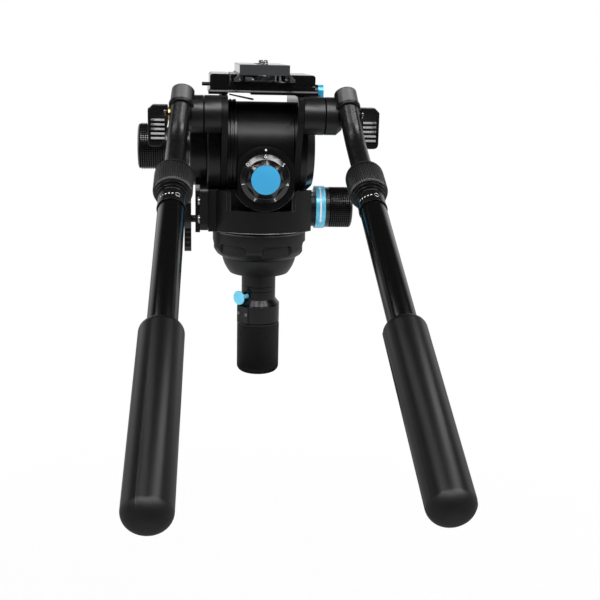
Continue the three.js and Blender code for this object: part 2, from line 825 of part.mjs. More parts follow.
function tiltAxle() {
  piece("tilt_axle", bar(X, axleRadius, -axleLeftReach, axleRightReach, tiltAxis), steel);
  const disc = turned(X, [
    [axleRadius + gap, -leftDiscInner - gap],
    [dragDiscRadius, -leftDiscInner - gap],
    [dragDiscRadius, -leftDiscInner - gap - dragDiscThickness],
    [axleRadius + gap, -leftDiscInner - gap - dragDiscThickness],
    [axleRadius + gap, -leftDiscInner - gap],
  ], tiltAxis);
  piece("tilt_drag_disc", disc, steel);
}

// Coil of the counterbalance spring: rings of wire swept along a helix about the axle
function counterbalanceSpring() {
  const stepsPerTurn = smallSides;
  const wireSides = 5;
  const steps = springTurns * stepsPerTurn;
  const left = ringFlangeWeb + gap + springWire - ringFlangeLeft;
  const right = blockRight - blockWeb - gap - springWire;
  const points = [];
  const corners = [];
  for (let i = 0; i <= steps; i += 1) {
    const angle = (2 * Math.PI * i) / stepsPerTurn;
    const station = left + ((right - left) * i) / steps;
    for (let k = 0; k < wireSides; k += 1) {
      const around = (2 * Math.PI * k) / wireSides;
      const radius = springRadius + springWire * Math.cos(around);
      points.push(station + springWire * Math.sin(around));
      points.push(radius * Math.cos(angle), tiltHeight + radius * Math.sin(angle));
    }
  }
  for (let i = 0; i < steps; i += 1) {
    for (let k = 0; k < wireSides; k += 1) {
      const [a, b] = [i * wireSides + k, i * wireSides + ((k + 1) % wireSides)];
      corners.push(a, b, a + wireSides, b, b + wireSides, a + wireSides);
    }
  }
  const last = steps * wireSides;
  for (let k = 1; k < wireSides - 1; k += 1) {
    corners.push(0, k + 1, k, last, last + k, last + k + 1);
  }
  const geometry = new THREE.BufferGeometry();
  geometry.setAttribute("position", new THREE.Float32BufferAttribute(points, 3));
  geometry.setIndex(corners);
  piece("counterbalance_spring", solid(geometry), steel);
}

// Dial on the boss: numbered ring, lobed knob and blue disc
function dial() {
  const axis = new THREE.Vector3(bossOffset, 0, dialHeight);
  const back = -bossFace - gap;
  const coneStart = back - dialBandWidth;
  const face = coneStart - dialConeWidth;
  const ring = turned(Y, [
    [0, dialShaftDepth - bossFace],
    [dialShaftRadius, dialShaftDepth - bossFace],
    [dialShaftRadius, back],
    [dialRadius, back],
    [dialRadius, coneStart],
    [dialFaceRadius, face],
    [0, face],
  ], axis, bigSides);
  piece("dial_ring", ring, satin);

  const lobes = [];
  for (let i = 0; i < 2 * bigSides; i += 1) {
    const angle = (Math.PI * i) / bigSides;
    const radius = dialKnobRadius + dialKnobLobe * Math.cos(dialLobes * angle);
    lobes.push([bossOffset + radius * Math.sin(angle), dialHeight + radius * Math.cos(angle)]);
  }
  const knobEnd = face - gap - dialKnobWidth;
  piece("dial_knob", slab("y", outline(lobes), knobEnd, face - gap), plastic);
  const disc = bar(Y, dialDiscRadius, knobEnd - gap - dialDiscThickness, knobEnd - gap, axis, midSides);
  piece("dial_disc", disc, blue);
}

// Tilting frame

function cheek(name, inner, outer, handed) {
  const outlinePoints = hull([
    [0, tiltHeight, drumRadius],
    [rosettePlace, rosetteHeight, rosetteRadius],
    [gap - platformRear, platformBottom - 2 * gap, gap],
    [platformFront - gap, platformBottom - 2 * gap, gap],
  ]);
  const plate = slab("x", outline(outlinePoints), inner, outer);
  const hole = bar(X, bushRadius + gap, inner - overrun, outer + overrun, tiltAxis);
  piece(`${name}_cheek`, plate.subtract(hole), satin, handed);
  const bush = turned(X, [
    [axleRadius + gap, inner],
    [bushRadius, inner],
    [bushRadius, outer],
    [axleRadius + gap, outer],
    [axleRadius + gap, inner],
  ], tiltAxis, smallSides);
  piece(`${name}_bush`, bush, brass, handed);
}

function discCovers() {
  const bore = axleRadius + gap;
  const pocket = dragDiscRadius + 2 * gap;
  const leftDisc = turned(X, [
    [bore, -leftDiscOuter],
    [coverDiscRadius - discChamfer, -leftDiscOuter],
    [coverDiscRadius, discChamfer - leftDiscOuter],
    [coverDiscRadius, -leftDiscInner],
    [pocket, -leftDiscInner],
    [pocket, leftDiscFace - leftDiscOuter],
    [bore, leftDiscFace - leftDiscOuter],
    [bore, -leftDiscOuter],
  ], tiltAxis, bigSides);
  piece("left_disc", leftDisc, satin);

  const shaft = tiltKnobShaftRadius + gap;
  const seat = -axleLeftReach - gap;
  const housing = turned(X, [
    [shaft, -dragHousingOuter],
    [dragHousingRadius - discChamfer, -dragHousingOuter],
    [dragHousingRadius, discChamfer - dragHousingOuter],
    [dragHousingRadius, -dragHousingInner],
    [bore, -dragHousingInner],
    [bore, seat],
    [shaft, seat],
    [shaft, -dragHousingOuter],
  ], tiltAxis, bigSides);
  piece("tilt_drag_housing", housing, satin);

  const end = axleRightReach + gap;
  const rightDisc = turned(X, [
    [bore, rightDiscInner],
    [coverDiscRadius, rightDiscInner],
    [coverDiscRadius, rightDiscInner + rightDiscShoulder],
    [rightDiscFaceRadius, rightDiscOuter - discChamfer],
    [rightDiscFaceRadius - discChamfer, rightDiscOuter],
    [0, rightDiscOuter],
    [0, end],
    [bore, end],
    [bore, rightDiscInner],
  ], tiltAxis, bigSides);
  piece("right_disc", rightDisc, satin);
}

function tiltKnob() {
  const hubInner = dragHousingOuter + gap;
  const knobInner = hubInner + tiltKnobHubWidth;
  const outer = knobInner + tiltKnobWidth;
  const knob = turned(X, [
    [0, -outer],
    [tiltKnobRadius - knobChamfer, -outer],
    [tiltKnobRadius, knobChamfer - outer],
    [tiltKnobRadius, -knobInner],
    [tiltKnobHubRadius, -knobInner],
    [tiltKnobHubRadius, -hubInner],
    [tiltKnobShaftRadius, -hubInner],
    [tiltKnobShaftRadius, tiltKnobShaftLength - hubInner],
    [0, tiltKnobShaftLength - hubInner],
  ], tiltAxis, bigSides);
  piece("tilt_drag_knob", knob, plastic);
}

// Platform with its rails and jaw

function platform() {
  const flangeTopHeight = platformBottom + platformFlange;
  const lockAxis = new THREE.Vector3(0, plateLockPlace, plateLockHeight);
  const [rear, front] = [-platformRear, platformFront];
  let plate = box(
    -platformHalfWidth, platformHalfWidth, rear, front, platformBottom, flangeTopHeight,
  );
  const leftDeck = -leftRailInner + gap;
  const floorLeft = -jawOuter - overrun;
  plate = plate.add(box(leftDeck, rightRailOuter, rear, front, flangeTopHeight, platformDeck));
  plate = plate.add(box(floorLeft, plateFootHalfWidth, rear, front, platformDeck, platformFloor));
  plate = plate.subtract(box(
    -platformReliefLeft, -platformReliefRight, rear - overrun, front + overrun,
    platformBottom - overrun, platformBottom + platformReliefHeight,
  ));
  const lockBoss = bar(X, plateLockBossRadius, plateLockBossInner, plateLockBossReach, lockAxis, smallSides);
  const railEdge = rightRailOuter + gap;
  plate = plate.add(lockBoss.subtract(box(0, railEdge, rear, front, platformDeck, platformFloor)));
  const holeStart = plateLockBossReach - plateLockShaftDepth - gap;
  const holeEnd = plateLockBossReach + overrun;
  const hole = bar(X, plateLockShaftRadius + gap, holeStart, holeEnd, lockAxis, tinySides);
  piece("platform_plate", plate.subtract(hole), satin);
}

function flankPoints(extra) {
  const lipTop = plateBottom + plateLipHeight;
  return [
    [plateFootHalfWidth + extra, lipTop],
    [flankHalfWidth(railTop) + extra, railTop],
  ];
}

function flankHalfWidth(height) {
  const lipTop = plateBottom + plateLipHeight;
  const share = (height - lipTop) / plateFlankHeight;
  return plateFootHalfWidth - (plateFootHalfWidth - plateHalfWidth) * share;
}

function rails() {
  const bottom = platformDeck + gap;
  const [foot, top] = flankPoints(dovetailGap);
  const right = outline([
    [foot[0], bottom],
    [rightRailOuter, bottom],
    [rightRailOuter, railTop - railChamfer],
    [rightRailOuter - railChamfer, railTop],
    top,
    foot,
  ]);
  piece("right_rail", slab("y", right, -platformRear, platformFront), satin);
  const left = outline([
    [-leftRailInner, leftRailBottom],
    [-leftRailInner, railTop],
    [railChamfer - leftRailOuter, railTop],
    [-leftRailOuter, railTop - railChamfer],
    [-leftRailOuter, leftRailBottom],
  ]);
  const pinAxis = new THREE.Vector3(0, pinPlace, pinHeight);
  const pinSeat = pinDepth + pinTravel + gap - leftRailOuter;
  const hole = bar(X, pinRadius + gap, -leftRailOuter - overrun, pinSeat, pinAxis, tinySides);
  piece("left_rail", slab("y", left, -platformRear, platformFront).subtract(hole), satin);
  const jaw = outline([
    [-foot[0], platformFloor + gap],
    [-foot[0], foot[1]],
    [-top[0], railTop],
    [-jawOuter, railTop],
    [-jawOuter, platformFloor + gap],
  ]);
  piece("plate_jaw", slab("y", jaw, -platformRear, platformFront), steel);
  piece("safety_pin", bar(X, pinRadius, -pinReach, pinDepth - leftRailOuter, pinAxis, tinySides), plastic);
}

function quickPlate() {
  const flank = plateBottom + plateLipHeight + plateFlankHeight;
  const section = outline([
    [-plateFootHalfWidth, plateBottom],
    [-plateChannelHalfWidth, plateBottom],
    [-plateChannelHalfWidth, plateShelf],
    [plateChannelHalfWidth, plateShelf],
    [plateChannelHalfWidth, plateBottom],
    [plateFootHalfWidth, plateBottom],
    [plateFootHalfWidth, plateBottom + plateLipHeight],
    [plateHalfWidth, flank],
    [plateHalfWidth, plateTop],
    [-plateHalfWidth, plateTop],
    [-plateHalfWidth, flank],
    [-plateFootHalfWidth, plateBottom + plateLipHeight],
  ]);
  const slot = outline(hull([
    [0, -plateSlotRear, plateSlotHalfWidth],
    [0, plateSlotFront, plateSlotHalfWidth],
  ]));
  let plate = slab("y", section, -plateRear, plateLength - plateRear);
  plate = plate.subtract(slab("z", slot, plateShelf - overrun, plateTop + overrun));
  piece("quick_plate", plate, plateGrey);

  const axis = new THREE.Vector3(0, cameraScrewPlace, 0);
  const headTop = plateShelf - gap;
  const headBottom = headTop - cameraScrewHeadHeight;
  const screw = turned(Z, [
    [0, headBottom],
    [cameraScrewHeadRadius, headBottom],
    [cameraScrewHeadRadius, headTop],
    [cameraScrewRadius, headTop],
    [cameraScrewRadius, plateTop + cameraScrewRise - gap],
    [cameraScrewRadius - gap, plateTop + cameraScrewRise],
    [0, plateTop + cameraScrewRise],
  ], axis, smallSides);
  piece("camera_screw", screw, steel);
}

function plateLock() {
  const inner = plateLockBossReach + gap;
  const outer = inner + plateLockHubWidth;
  const blade = outline(hull([
    [plateLockPlace, plateLockHeight, plateLockHubRadius],
    [plateLockPlace, plateLockHeight - plateLockArm, plateLockTipRadius],
  ]));
  const axis = new THREE.Vector3(0, plateLockPlace, plateLockHeight);
  const hub = bar(X, plateLockHubRadius, inner, outer - gap, axis, smallSides);
  const shaftStart = plateLockBossReach - plateLockShaftDepth;
  const shaft = bar(X, plateLockShaftRadius, shaftStart, outer - gap, axis, tinySides);
  piece("plate_lock_lever", slab("x", blade, outer - plateLockThickness, outer).add(hub).add(shaft), blue);
}

// Handles, made on the right and mirrored for the left

function along(line, from, distance) {
  return from.clone().addScaledVector(line, distance);
}

function rosette(name, handed) {
  const inner = (handed < 0 ? leftCheekOuter : rightCheekOuter) + gap;
  const edge = discChamfer / 2;
  const head = turned(X, [
    [clampStudRadius + gap, inner],
    [rosetteRadius, inner],
    [rosetteRadius, rosetteReach - edge],
    [rosetteRadius - edge, rosetteReach],
    [clampStudRadius + gap, rosetteReach],
    [clampStudRadius + gap, inner],
  ], boltAxis);
  piece(`${name}_rosette`, head, satin, handed);
  const stud = bar(X, clampStudRadius, inner, clampStudReach, boltAxis, tinySides);
  piece(`${name}_clamp_stud`, stud, steel, handed);
}

function arm(name, handed) {
  const start = rosetteReach + toothGap;
  const edge = discChamfer / 2;
  let body = turned(X, [
    [0, start],
    [rosetteRadius - edge, start],
    [rosetteRadius, start + edge],
    [rosetteRadius, armReach - edge],
    [rosetteRadius - edge, armReach],
    [armNeckRadius, armReach + armNeckWidth],
    [0, armReach + armNeckWidth],
  ], boltAxis);
  body = body.add(bar(X, armEyeRadius, armReach, armEyeReach, boltAxis, smallSides));
  const up = socketLine.clone().negate();
  const domeStart = socketLength - socketDome;
  body = body.add(turned(up, [
    [0, 0],
    [socketRadius, 0],
    [socketRadius, domeStart],
    ...arcPoints(socketRadius - socketDome, domeStart, socketDome, 0, 90),
    [0, socketLength],
  ], mouthPoint));
  const run = bendStart.length();
  body = body.subtract(bar(up, upperTubeRadius + gap, -run, socketDepth + gap, mouthPoint));
  const boreEnd = armEyeReach + overrun;
  body = body.subtract(bar(X, clampStudRadius + gap, start - overrun, boreEnd, boltAxis, tinySides));
  piece(`${name}_arm`, body, satin, handed);
}

function clampLever(name, handed) {
  const washer = turned(X, [
    [clampStudRadius + gap, armEyeReach + gap],
    [washerRadius, armEyeReach + gap],
    [washerRadius, armEyeReach + gap + washerWidth],
    [clampStudRadius + gap, armEyeReach + gap + washerWidth],
    [clampStudRadius + gap, armEyeReach + gap],
  ], boltAxis, smallSides);
  piece(`${name}_washer`, washer, brass, handed);

  const top = rosetteHeight + leverHubRadius;
  const bottom = rosetteHeight - leverDrop;
  const blade = new THREE.Shape();
  blade.moveTo(leverInner, top);
  blade.lineTo(leverInner, rosetteHeight - leverHubRadius);
  blade.lineTo(leverInner + leverCorner, bottom + leverCorner);
  blade.quadraticCurveTo(leverInner + leverCorner, bottom, leverInner + 2 * leverCorner, bottom);
  blade.lineTo(leverOuter - leverCorner, bottom);
  blade.quadraticCurveTo(leverOuter, bottom, leverOuter, bottom + leverCorner);
  blade.lineTo(leverOuter, top - leverCorner);
  blade.lineTo(leverOuter - leverCorner, top);
  const rear = rosettePlace - leverHubRadius;
  let lever = slab("y", blade, rear, rear + leverThickness, roundSteps);
  lever = lever.add(bar(X, leverHubRadius, leverInner, leverOuter - leverCorner, boltAxis));
  const bore = bar(X, clampStudRadius + gap, leverInner - overrun, clampStudReach + gap, boltAxis, tinySides);
  piece(`${name}_clamp_lever`, lever.subtract(bore), plastic, handed);
}

// Stations of the bent tube: straight into the socket, an arc at the bend point, straight on
function tubeStations() {
  const turn = socketLine.angleTo(handleLine);
  const tangent = bendRadius * Math.tan(turn / 2);
  const side = new THREE.Vector3().crossVectors(socketLine, handleLine).normalize();
  const inward = new THREE.Vector3().crossVectors(side, socketLine);
  const arcStart = along(socketLine, bendPoint, -tangent);
  const centre = along(inward, arcStart, bendRadius);
  const stations = [[along(socketLine, mouthPoint, -socketDepth), socketLine]];
  for (let i = 0; i <= bendSteps; i += 1) {
    const angle = (turn * i) / bendSteps;
    const spoke = inward.clone().negate().applyAxisAngle(side, angle);
    stations.push([along(spoke, centre, bendRadius), socketLine.clone().applyAxisAngle(side, angle)]);
  }
  stations.push([along(handleLine, bendPoint, upperTubeRun), handleLine]);
  return { stations, side };
}

// Hollow tube through the stations, with flat ring ends
function upperTube(name, handed) {
  const { stations, side } = tubeStations();
  const sides = smallSides;
  const points = [];
  const corners = [];
  for (const radius of [upperTubeRadius, upperTubeRadius - tubeWall]) {
    for (const [centre, line] of stations) {
      const other = new THREE.Vector3().crossVectors(line, side);
      for (let k = 0; k < sides; k += 1) {
        const angle = (2 * Math.PI * k) / sides;
        const point = along(side, along(other, centre, radius * Math.sin(angle)), radius * Math.cos(angle));
        points.push(point.x, point.y, point.z);
      }
    }
  }
  const inner = stations.length * sides;
  const last = (stations.length - 1) * sides;
  for (let k = 0; k < sides; k += 1) {
    const next = (k + 1) % sides;
    for (let i = 0; i < last; i += sides) {
      const [a, b, c, d] = [i + k, i + next, i + sides + k, i + sides + next];
      corners.push(a, b, c, b, d, c, inner + a, inner + c, inner + b, inner + b, inner + c, inner + d);
    }
    corners.push(k, inner + k, next, next, inner + k, inner + next);
    corners.push(last + k, last + next, inner + last + k, last + next, inner + last + next, inner + last + k);
  }
  const geometry = new THREE.BufferGeometry();
  geometry.setAttribute("position", new THREE.Float32BufferAttribute(points, 3));
  geometry.setIndex(corners);
  piece(`${name}_upper_tube`, solid(geometry), anodised, handed);
}

function lowerHandle(name, handed) {
  const inner = upperTubeRadius + gap;
  const end = lowerTubeEnd;
  const tube = turned(handleLine, [
    [inner, lowerTubeStart],
    [lowerTubeRadius, lowerTubeStart],
    [lowerTubeRadius, end],
    [inner, end],
    [inner, lowerTubeStart],
  ], bendPoint, midSides);
  piece(`${name}_lower_tube`, tube, anodised, handed);

  const sleeve = lowerTubeRadius + gap;
  const collarEnd = twistCollarStart + twistCollarLength;
  const round = twistCollarRound;
  const collar = turned(handleLine, [
    [inner, twistCollarStart],
    [twistCollarRadius - round, twistCollarStart],
    [twistCollarRadius, twistCollarStart + round],
    [twistCollarRadius, collarEnd - round],
    [twistCollarRadius - round, collarEnd],
    [sleeve, collarEnd],
    [sleeve, lowerTubeStart - gap],
    [inner, lowerTubeStart - gap],
    [inner, twistCollarStart],
  ], bendPoint);
  piece(`${name}_twist_collar`, collar, rubber, handed);

  const steps = [];
  let station = markRingStart;
  markStepRadii.forEach((radius, i) => {
    steps.push([radius, station], [radius, station + markStepLengths[i]]);
    station += markStepLengths[i];
  });
  const ringProfile = [[sleeve, markRingStart], ...steps, [sleeve, station], [sleeve, markRingStart]];
  piece(`${name}_mark_ring`, turned(handleLine, ringProfile, bendPoint), satin, handed);
  grip(name, handed, sleeve);
}

function grip(name, handed, bore) {
  const end = gripStart + gripLength;
  const profile = [
    [bore, gripStart],
    [gripRadius - gripStartRound, gripStart],
    [gripRadius, gripStart + gripStartRound],
    ...arcPoints(gripRadius - gripEndRound, end - gripEndRound, gripEndRound, 0, 90),
    [0, end],
    [0, end - gripFloor],
    [bore, end - gripFloor],
    [bore, gripStart],
  ];
  piece(`${name}_grip`, turned(handleLine, profile, bendPoint), rubber, handed);
}

halfBall();
panSpindle();
tieDown();
baseHousing();
panBearing();
sideCover();
panLock();
panKnob();
blockHousing();
ringFlange();
tiltAxle();
counterbalanceSpring();
dial();
discCovers();
tiltKnob();
platform();
rails();
quickPlate();
plateLock();
cheek("left", leftCheekInner, leftCheekOuter, -1);
cheek("right", rightCheekInner, rightCheekOuter, 1);
for (const [name, handed] of [["left", -1], ["right", 1]]) {
  rosette(name, handed);
  arm(name, handed);
  clampLever(name, handed);
  upperTube(name, handed);
  lowerHandle(name, handed);
}

export default head;
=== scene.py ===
import bpy
import bmesh
import json
from math import sin, cos, tan, pi, radians, degrees, sqrt
from mathutils import Vector, Matrix, Quaternion

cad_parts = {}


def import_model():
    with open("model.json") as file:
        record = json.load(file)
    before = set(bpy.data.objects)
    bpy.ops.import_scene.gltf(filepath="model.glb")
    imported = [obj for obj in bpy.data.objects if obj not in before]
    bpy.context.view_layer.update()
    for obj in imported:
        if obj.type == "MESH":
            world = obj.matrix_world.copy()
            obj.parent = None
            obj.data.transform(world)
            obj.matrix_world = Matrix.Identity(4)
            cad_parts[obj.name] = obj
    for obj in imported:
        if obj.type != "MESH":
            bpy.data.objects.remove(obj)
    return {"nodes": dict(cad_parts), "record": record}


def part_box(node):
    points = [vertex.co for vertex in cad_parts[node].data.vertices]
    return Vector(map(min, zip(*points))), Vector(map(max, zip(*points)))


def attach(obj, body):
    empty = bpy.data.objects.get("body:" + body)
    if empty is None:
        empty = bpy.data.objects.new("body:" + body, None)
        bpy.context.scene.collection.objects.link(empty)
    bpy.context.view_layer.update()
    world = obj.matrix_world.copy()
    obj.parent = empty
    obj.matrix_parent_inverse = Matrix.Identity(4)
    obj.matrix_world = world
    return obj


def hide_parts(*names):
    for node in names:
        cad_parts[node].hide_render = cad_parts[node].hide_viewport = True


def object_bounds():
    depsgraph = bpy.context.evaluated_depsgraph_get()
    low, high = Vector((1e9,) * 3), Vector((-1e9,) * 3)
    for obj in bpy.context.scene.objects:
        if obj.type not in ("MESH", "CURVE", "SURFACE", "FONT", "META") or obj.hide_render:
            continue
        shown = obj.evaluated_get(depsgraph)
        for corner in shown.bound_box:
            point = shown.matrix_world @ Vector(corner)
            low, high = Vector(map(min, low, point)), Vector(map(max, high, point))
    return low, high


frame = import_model()
cad_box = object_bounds()
node_body = {n: b for b, ns in frame["record"]["behaviour"]["bodies"].items() for n in ns}
MM = 0.001

# sizes in millimetres, the same as those of the solids
BALL_R, FLANGE_R = 37.5, 46
TILT_HEIGHT, PAN_KNOB_HEIGHT = 100, 41.8
BLOCK_X, BOSS_HEIGHT, DIAL_HEIGHT = 1.5, 75, 76
CLAMP_Y, CLAMP_Z = -53, 134.3
UPPER_TUBE_R, UPPER_BORE_R, BEND_R = 9, 7.5, 75
LOWER_TUBE_R, LOWER_BORE_R, ON_TUBE_R = 11.15, 9.3, 11.45
GRIP_R = 16.5
SLOPE, SPLAY = radians(29.2), radians(1.95)
MOUTH, BEND = Vector((75.2, -65.8, 143.6)), Vector((79, -88, 115.2))
HANDLE = Vector((sin(SPLAY), -cos(SPLAY) * cos(SLOPE), -cos(SPLAY) * sin(SLOPE)))

# how meshes are dressed, in millimetres and degrees
PAINT_THICKNESS = 0.08
BEVEL_SEGMENTS, BEVEL_ANGLE, SHARP_ANGLE, SMOOTH_ANGLE = 2, 28, 40, 32
GROOVED = (0.0, 0.38, 0.46, 0.92)
GROOVE_SHARE = 0.42
FLAT_FACE = 0.9

# the camera and the stage, in metres and radians
CAMERA_PLACE = (-0.063355, -0.983708, 0.192225)
CAMERA_YAW, CAMERA_PITCH, CAMERA_ROLL = 0.107219, 0.243695, 0.0228569
CAMERA_LENS = 60.092
FLOOR_HEIGHT, FLOOR_HALF = -0.56, 6.0
WHITE = (1, 1, 1, 1)


def added(name, data):
    """A new object in the scene."""
    ob = bpy.data.objects.new(name, data)
    bpy.context.scene.collection.objects.link(ob)
    return ob


# ---------- camera, at the photograph's place ----------
def make_camera():
    yaw, pitch, roll = CAMERA_YAW, CAMERA_PITCH, CAMERA_ROLL
    forward = Vector((sin(yaw) * cos(pitch), cos(yaw) * cos(pitch), -sin(pitch)))
    level = Vector((cos(yaw), -sin(yaw), 0))
    upright = level.cross(forward)
    right = cos(roll) * level + sin(roll) * upright
    up = cos(roll) * upright - sin(roll) * level
    data = bpy.data.cameras.new("camera")
    data.sensor_width = 36
    data.lens = CAMERA_LENS
    data.clip_start, data.clip_end = 0.05, 50
    cam = added("camera", data)
    place = Matrix((right, up, -forward)).transposed().to_4x4()
    place.translation = CAMERA_PLACE
    cam.matrix_world = place
    bpy.context.scene.camera = cam


make_camera()


# ---------- materials ----------
def node(tree, kind, **values):
    """A new node, with values for its inputs or its own settings."""
    made = tree.nodes.new("ShaderNode" + kind)
    for key, value in values.items():
        if key in made.inputs:
            made.inputs[key].default_value = value
        else:
            setattr(made, key, value)
    return made


def ranged(tree, source, low, high, start, end, smooth=False):
    """A value carried from low..high to start..end, and held at the ends."""
    made = node(tree, "MapRange", interpolation_type="SMOOTHSTEP" if smooth else "LINEAR")
    for key, value in (("From Min", low), ("From Max", high), ("To Min", start), ("To Max", end)):
        made.inputs[key].default_value = value
    tree.links.new(source, made.inputs["Value"])
    return made.outputs[0]


def joined(tree, kind, first, second=0.0):
    """Two values put together, where the second may be a plain number."""
    made = node(tree, "Math", operation=kind)
    tree.links.new(first, made.inputs[0])
    if isinstance(second, float):
        made.inputs[1].default_value = second
    else:
        tree.links.new(second, made.inputs[1])
    return made.outputs[0]


def vector(tree, kind, source, other=(0, 0, 0)):
    """A place scaled by another, its distance from another, or its length."""
    made = node(tree, "VectorMath", operation=kind)
    made.inputs[1].default_value = other
    tree.links.new(source, made.inputs[0])
    return made.outputs["Vector" if kind == "MULTIPLY" else "Value"]


def blended(tree, share, first, second):
    """The second shader by its share, and the first for the rest."""
    made = node(tree, "MixShader")
    for source, place in zip((share, first.outputs[0], second.outputs[0]), made.inputs):
        tree.links.new(source, place)
    return made


def finish(name, colour, rough, metallic=0.0, grain=0.3, bump=0.25, vary=0.25, spread=0.06,
           specular=0.5, coat=0.0, coat_rough=0.1):
    """A metal, paint, rubber or plastic finish: colour and roughness drift, and a fine grain in bump."""
    mat = bpy.data.materials.new(name)
    mat.use_nodes = True
    tree = mat.node_tree
    shader = tree.nodes["Principled BSDF"]
    link = tree.links.new
    place = node(tree, "TexCoord").outputs["Object"]
    broad = node(tree, "TexNoise", Scale=60.0, Detail=4.0)
    fine = node(tree, "TexNoise", Scale=1.0 / (grain * MM), Detail=2.0)
    halves = []
    for noise in (broad, fine):
        link(place, noise.inputs["Vector"])
        halves.append(joined(tree, "MULTIPLY", noise.outputs["Fac"], 0.5))
    drift = joined(tree, "ADD", *halves)
    tint = node(tree, "MixRGB")
    tint.inputs[1].default_value = (*[c * (1 - vary) for c in colour], 1)
    tint.inputs[2].default_value = (*[min(1, c * (1 + vary)) for c in colour], 1)
    link(drift, tint.inputs[0])
    link(tint.outputs[0], shader.inputs["Base Color"])
    link(ranged(tree, drift, 0.3, 0.7, rough - spread, rough + spread), shader.inputs["Roughness"])
    rise = node(tree, "Bump", Strength=bump, Distance=0.05 * MM)
    link(fine.outputs["Fac"], rise.inputs["Height"])
    link(rise.outputs["Normal"], shader.inputs["Normal"])
    for key, value in (("Metallic", metallic), ("Specular IOR Level", specular), ("Coat Weight", coat),
                       ("Coat Roughness", coat_rough)):
        shader.inputs[key].default_value = value
    return mat


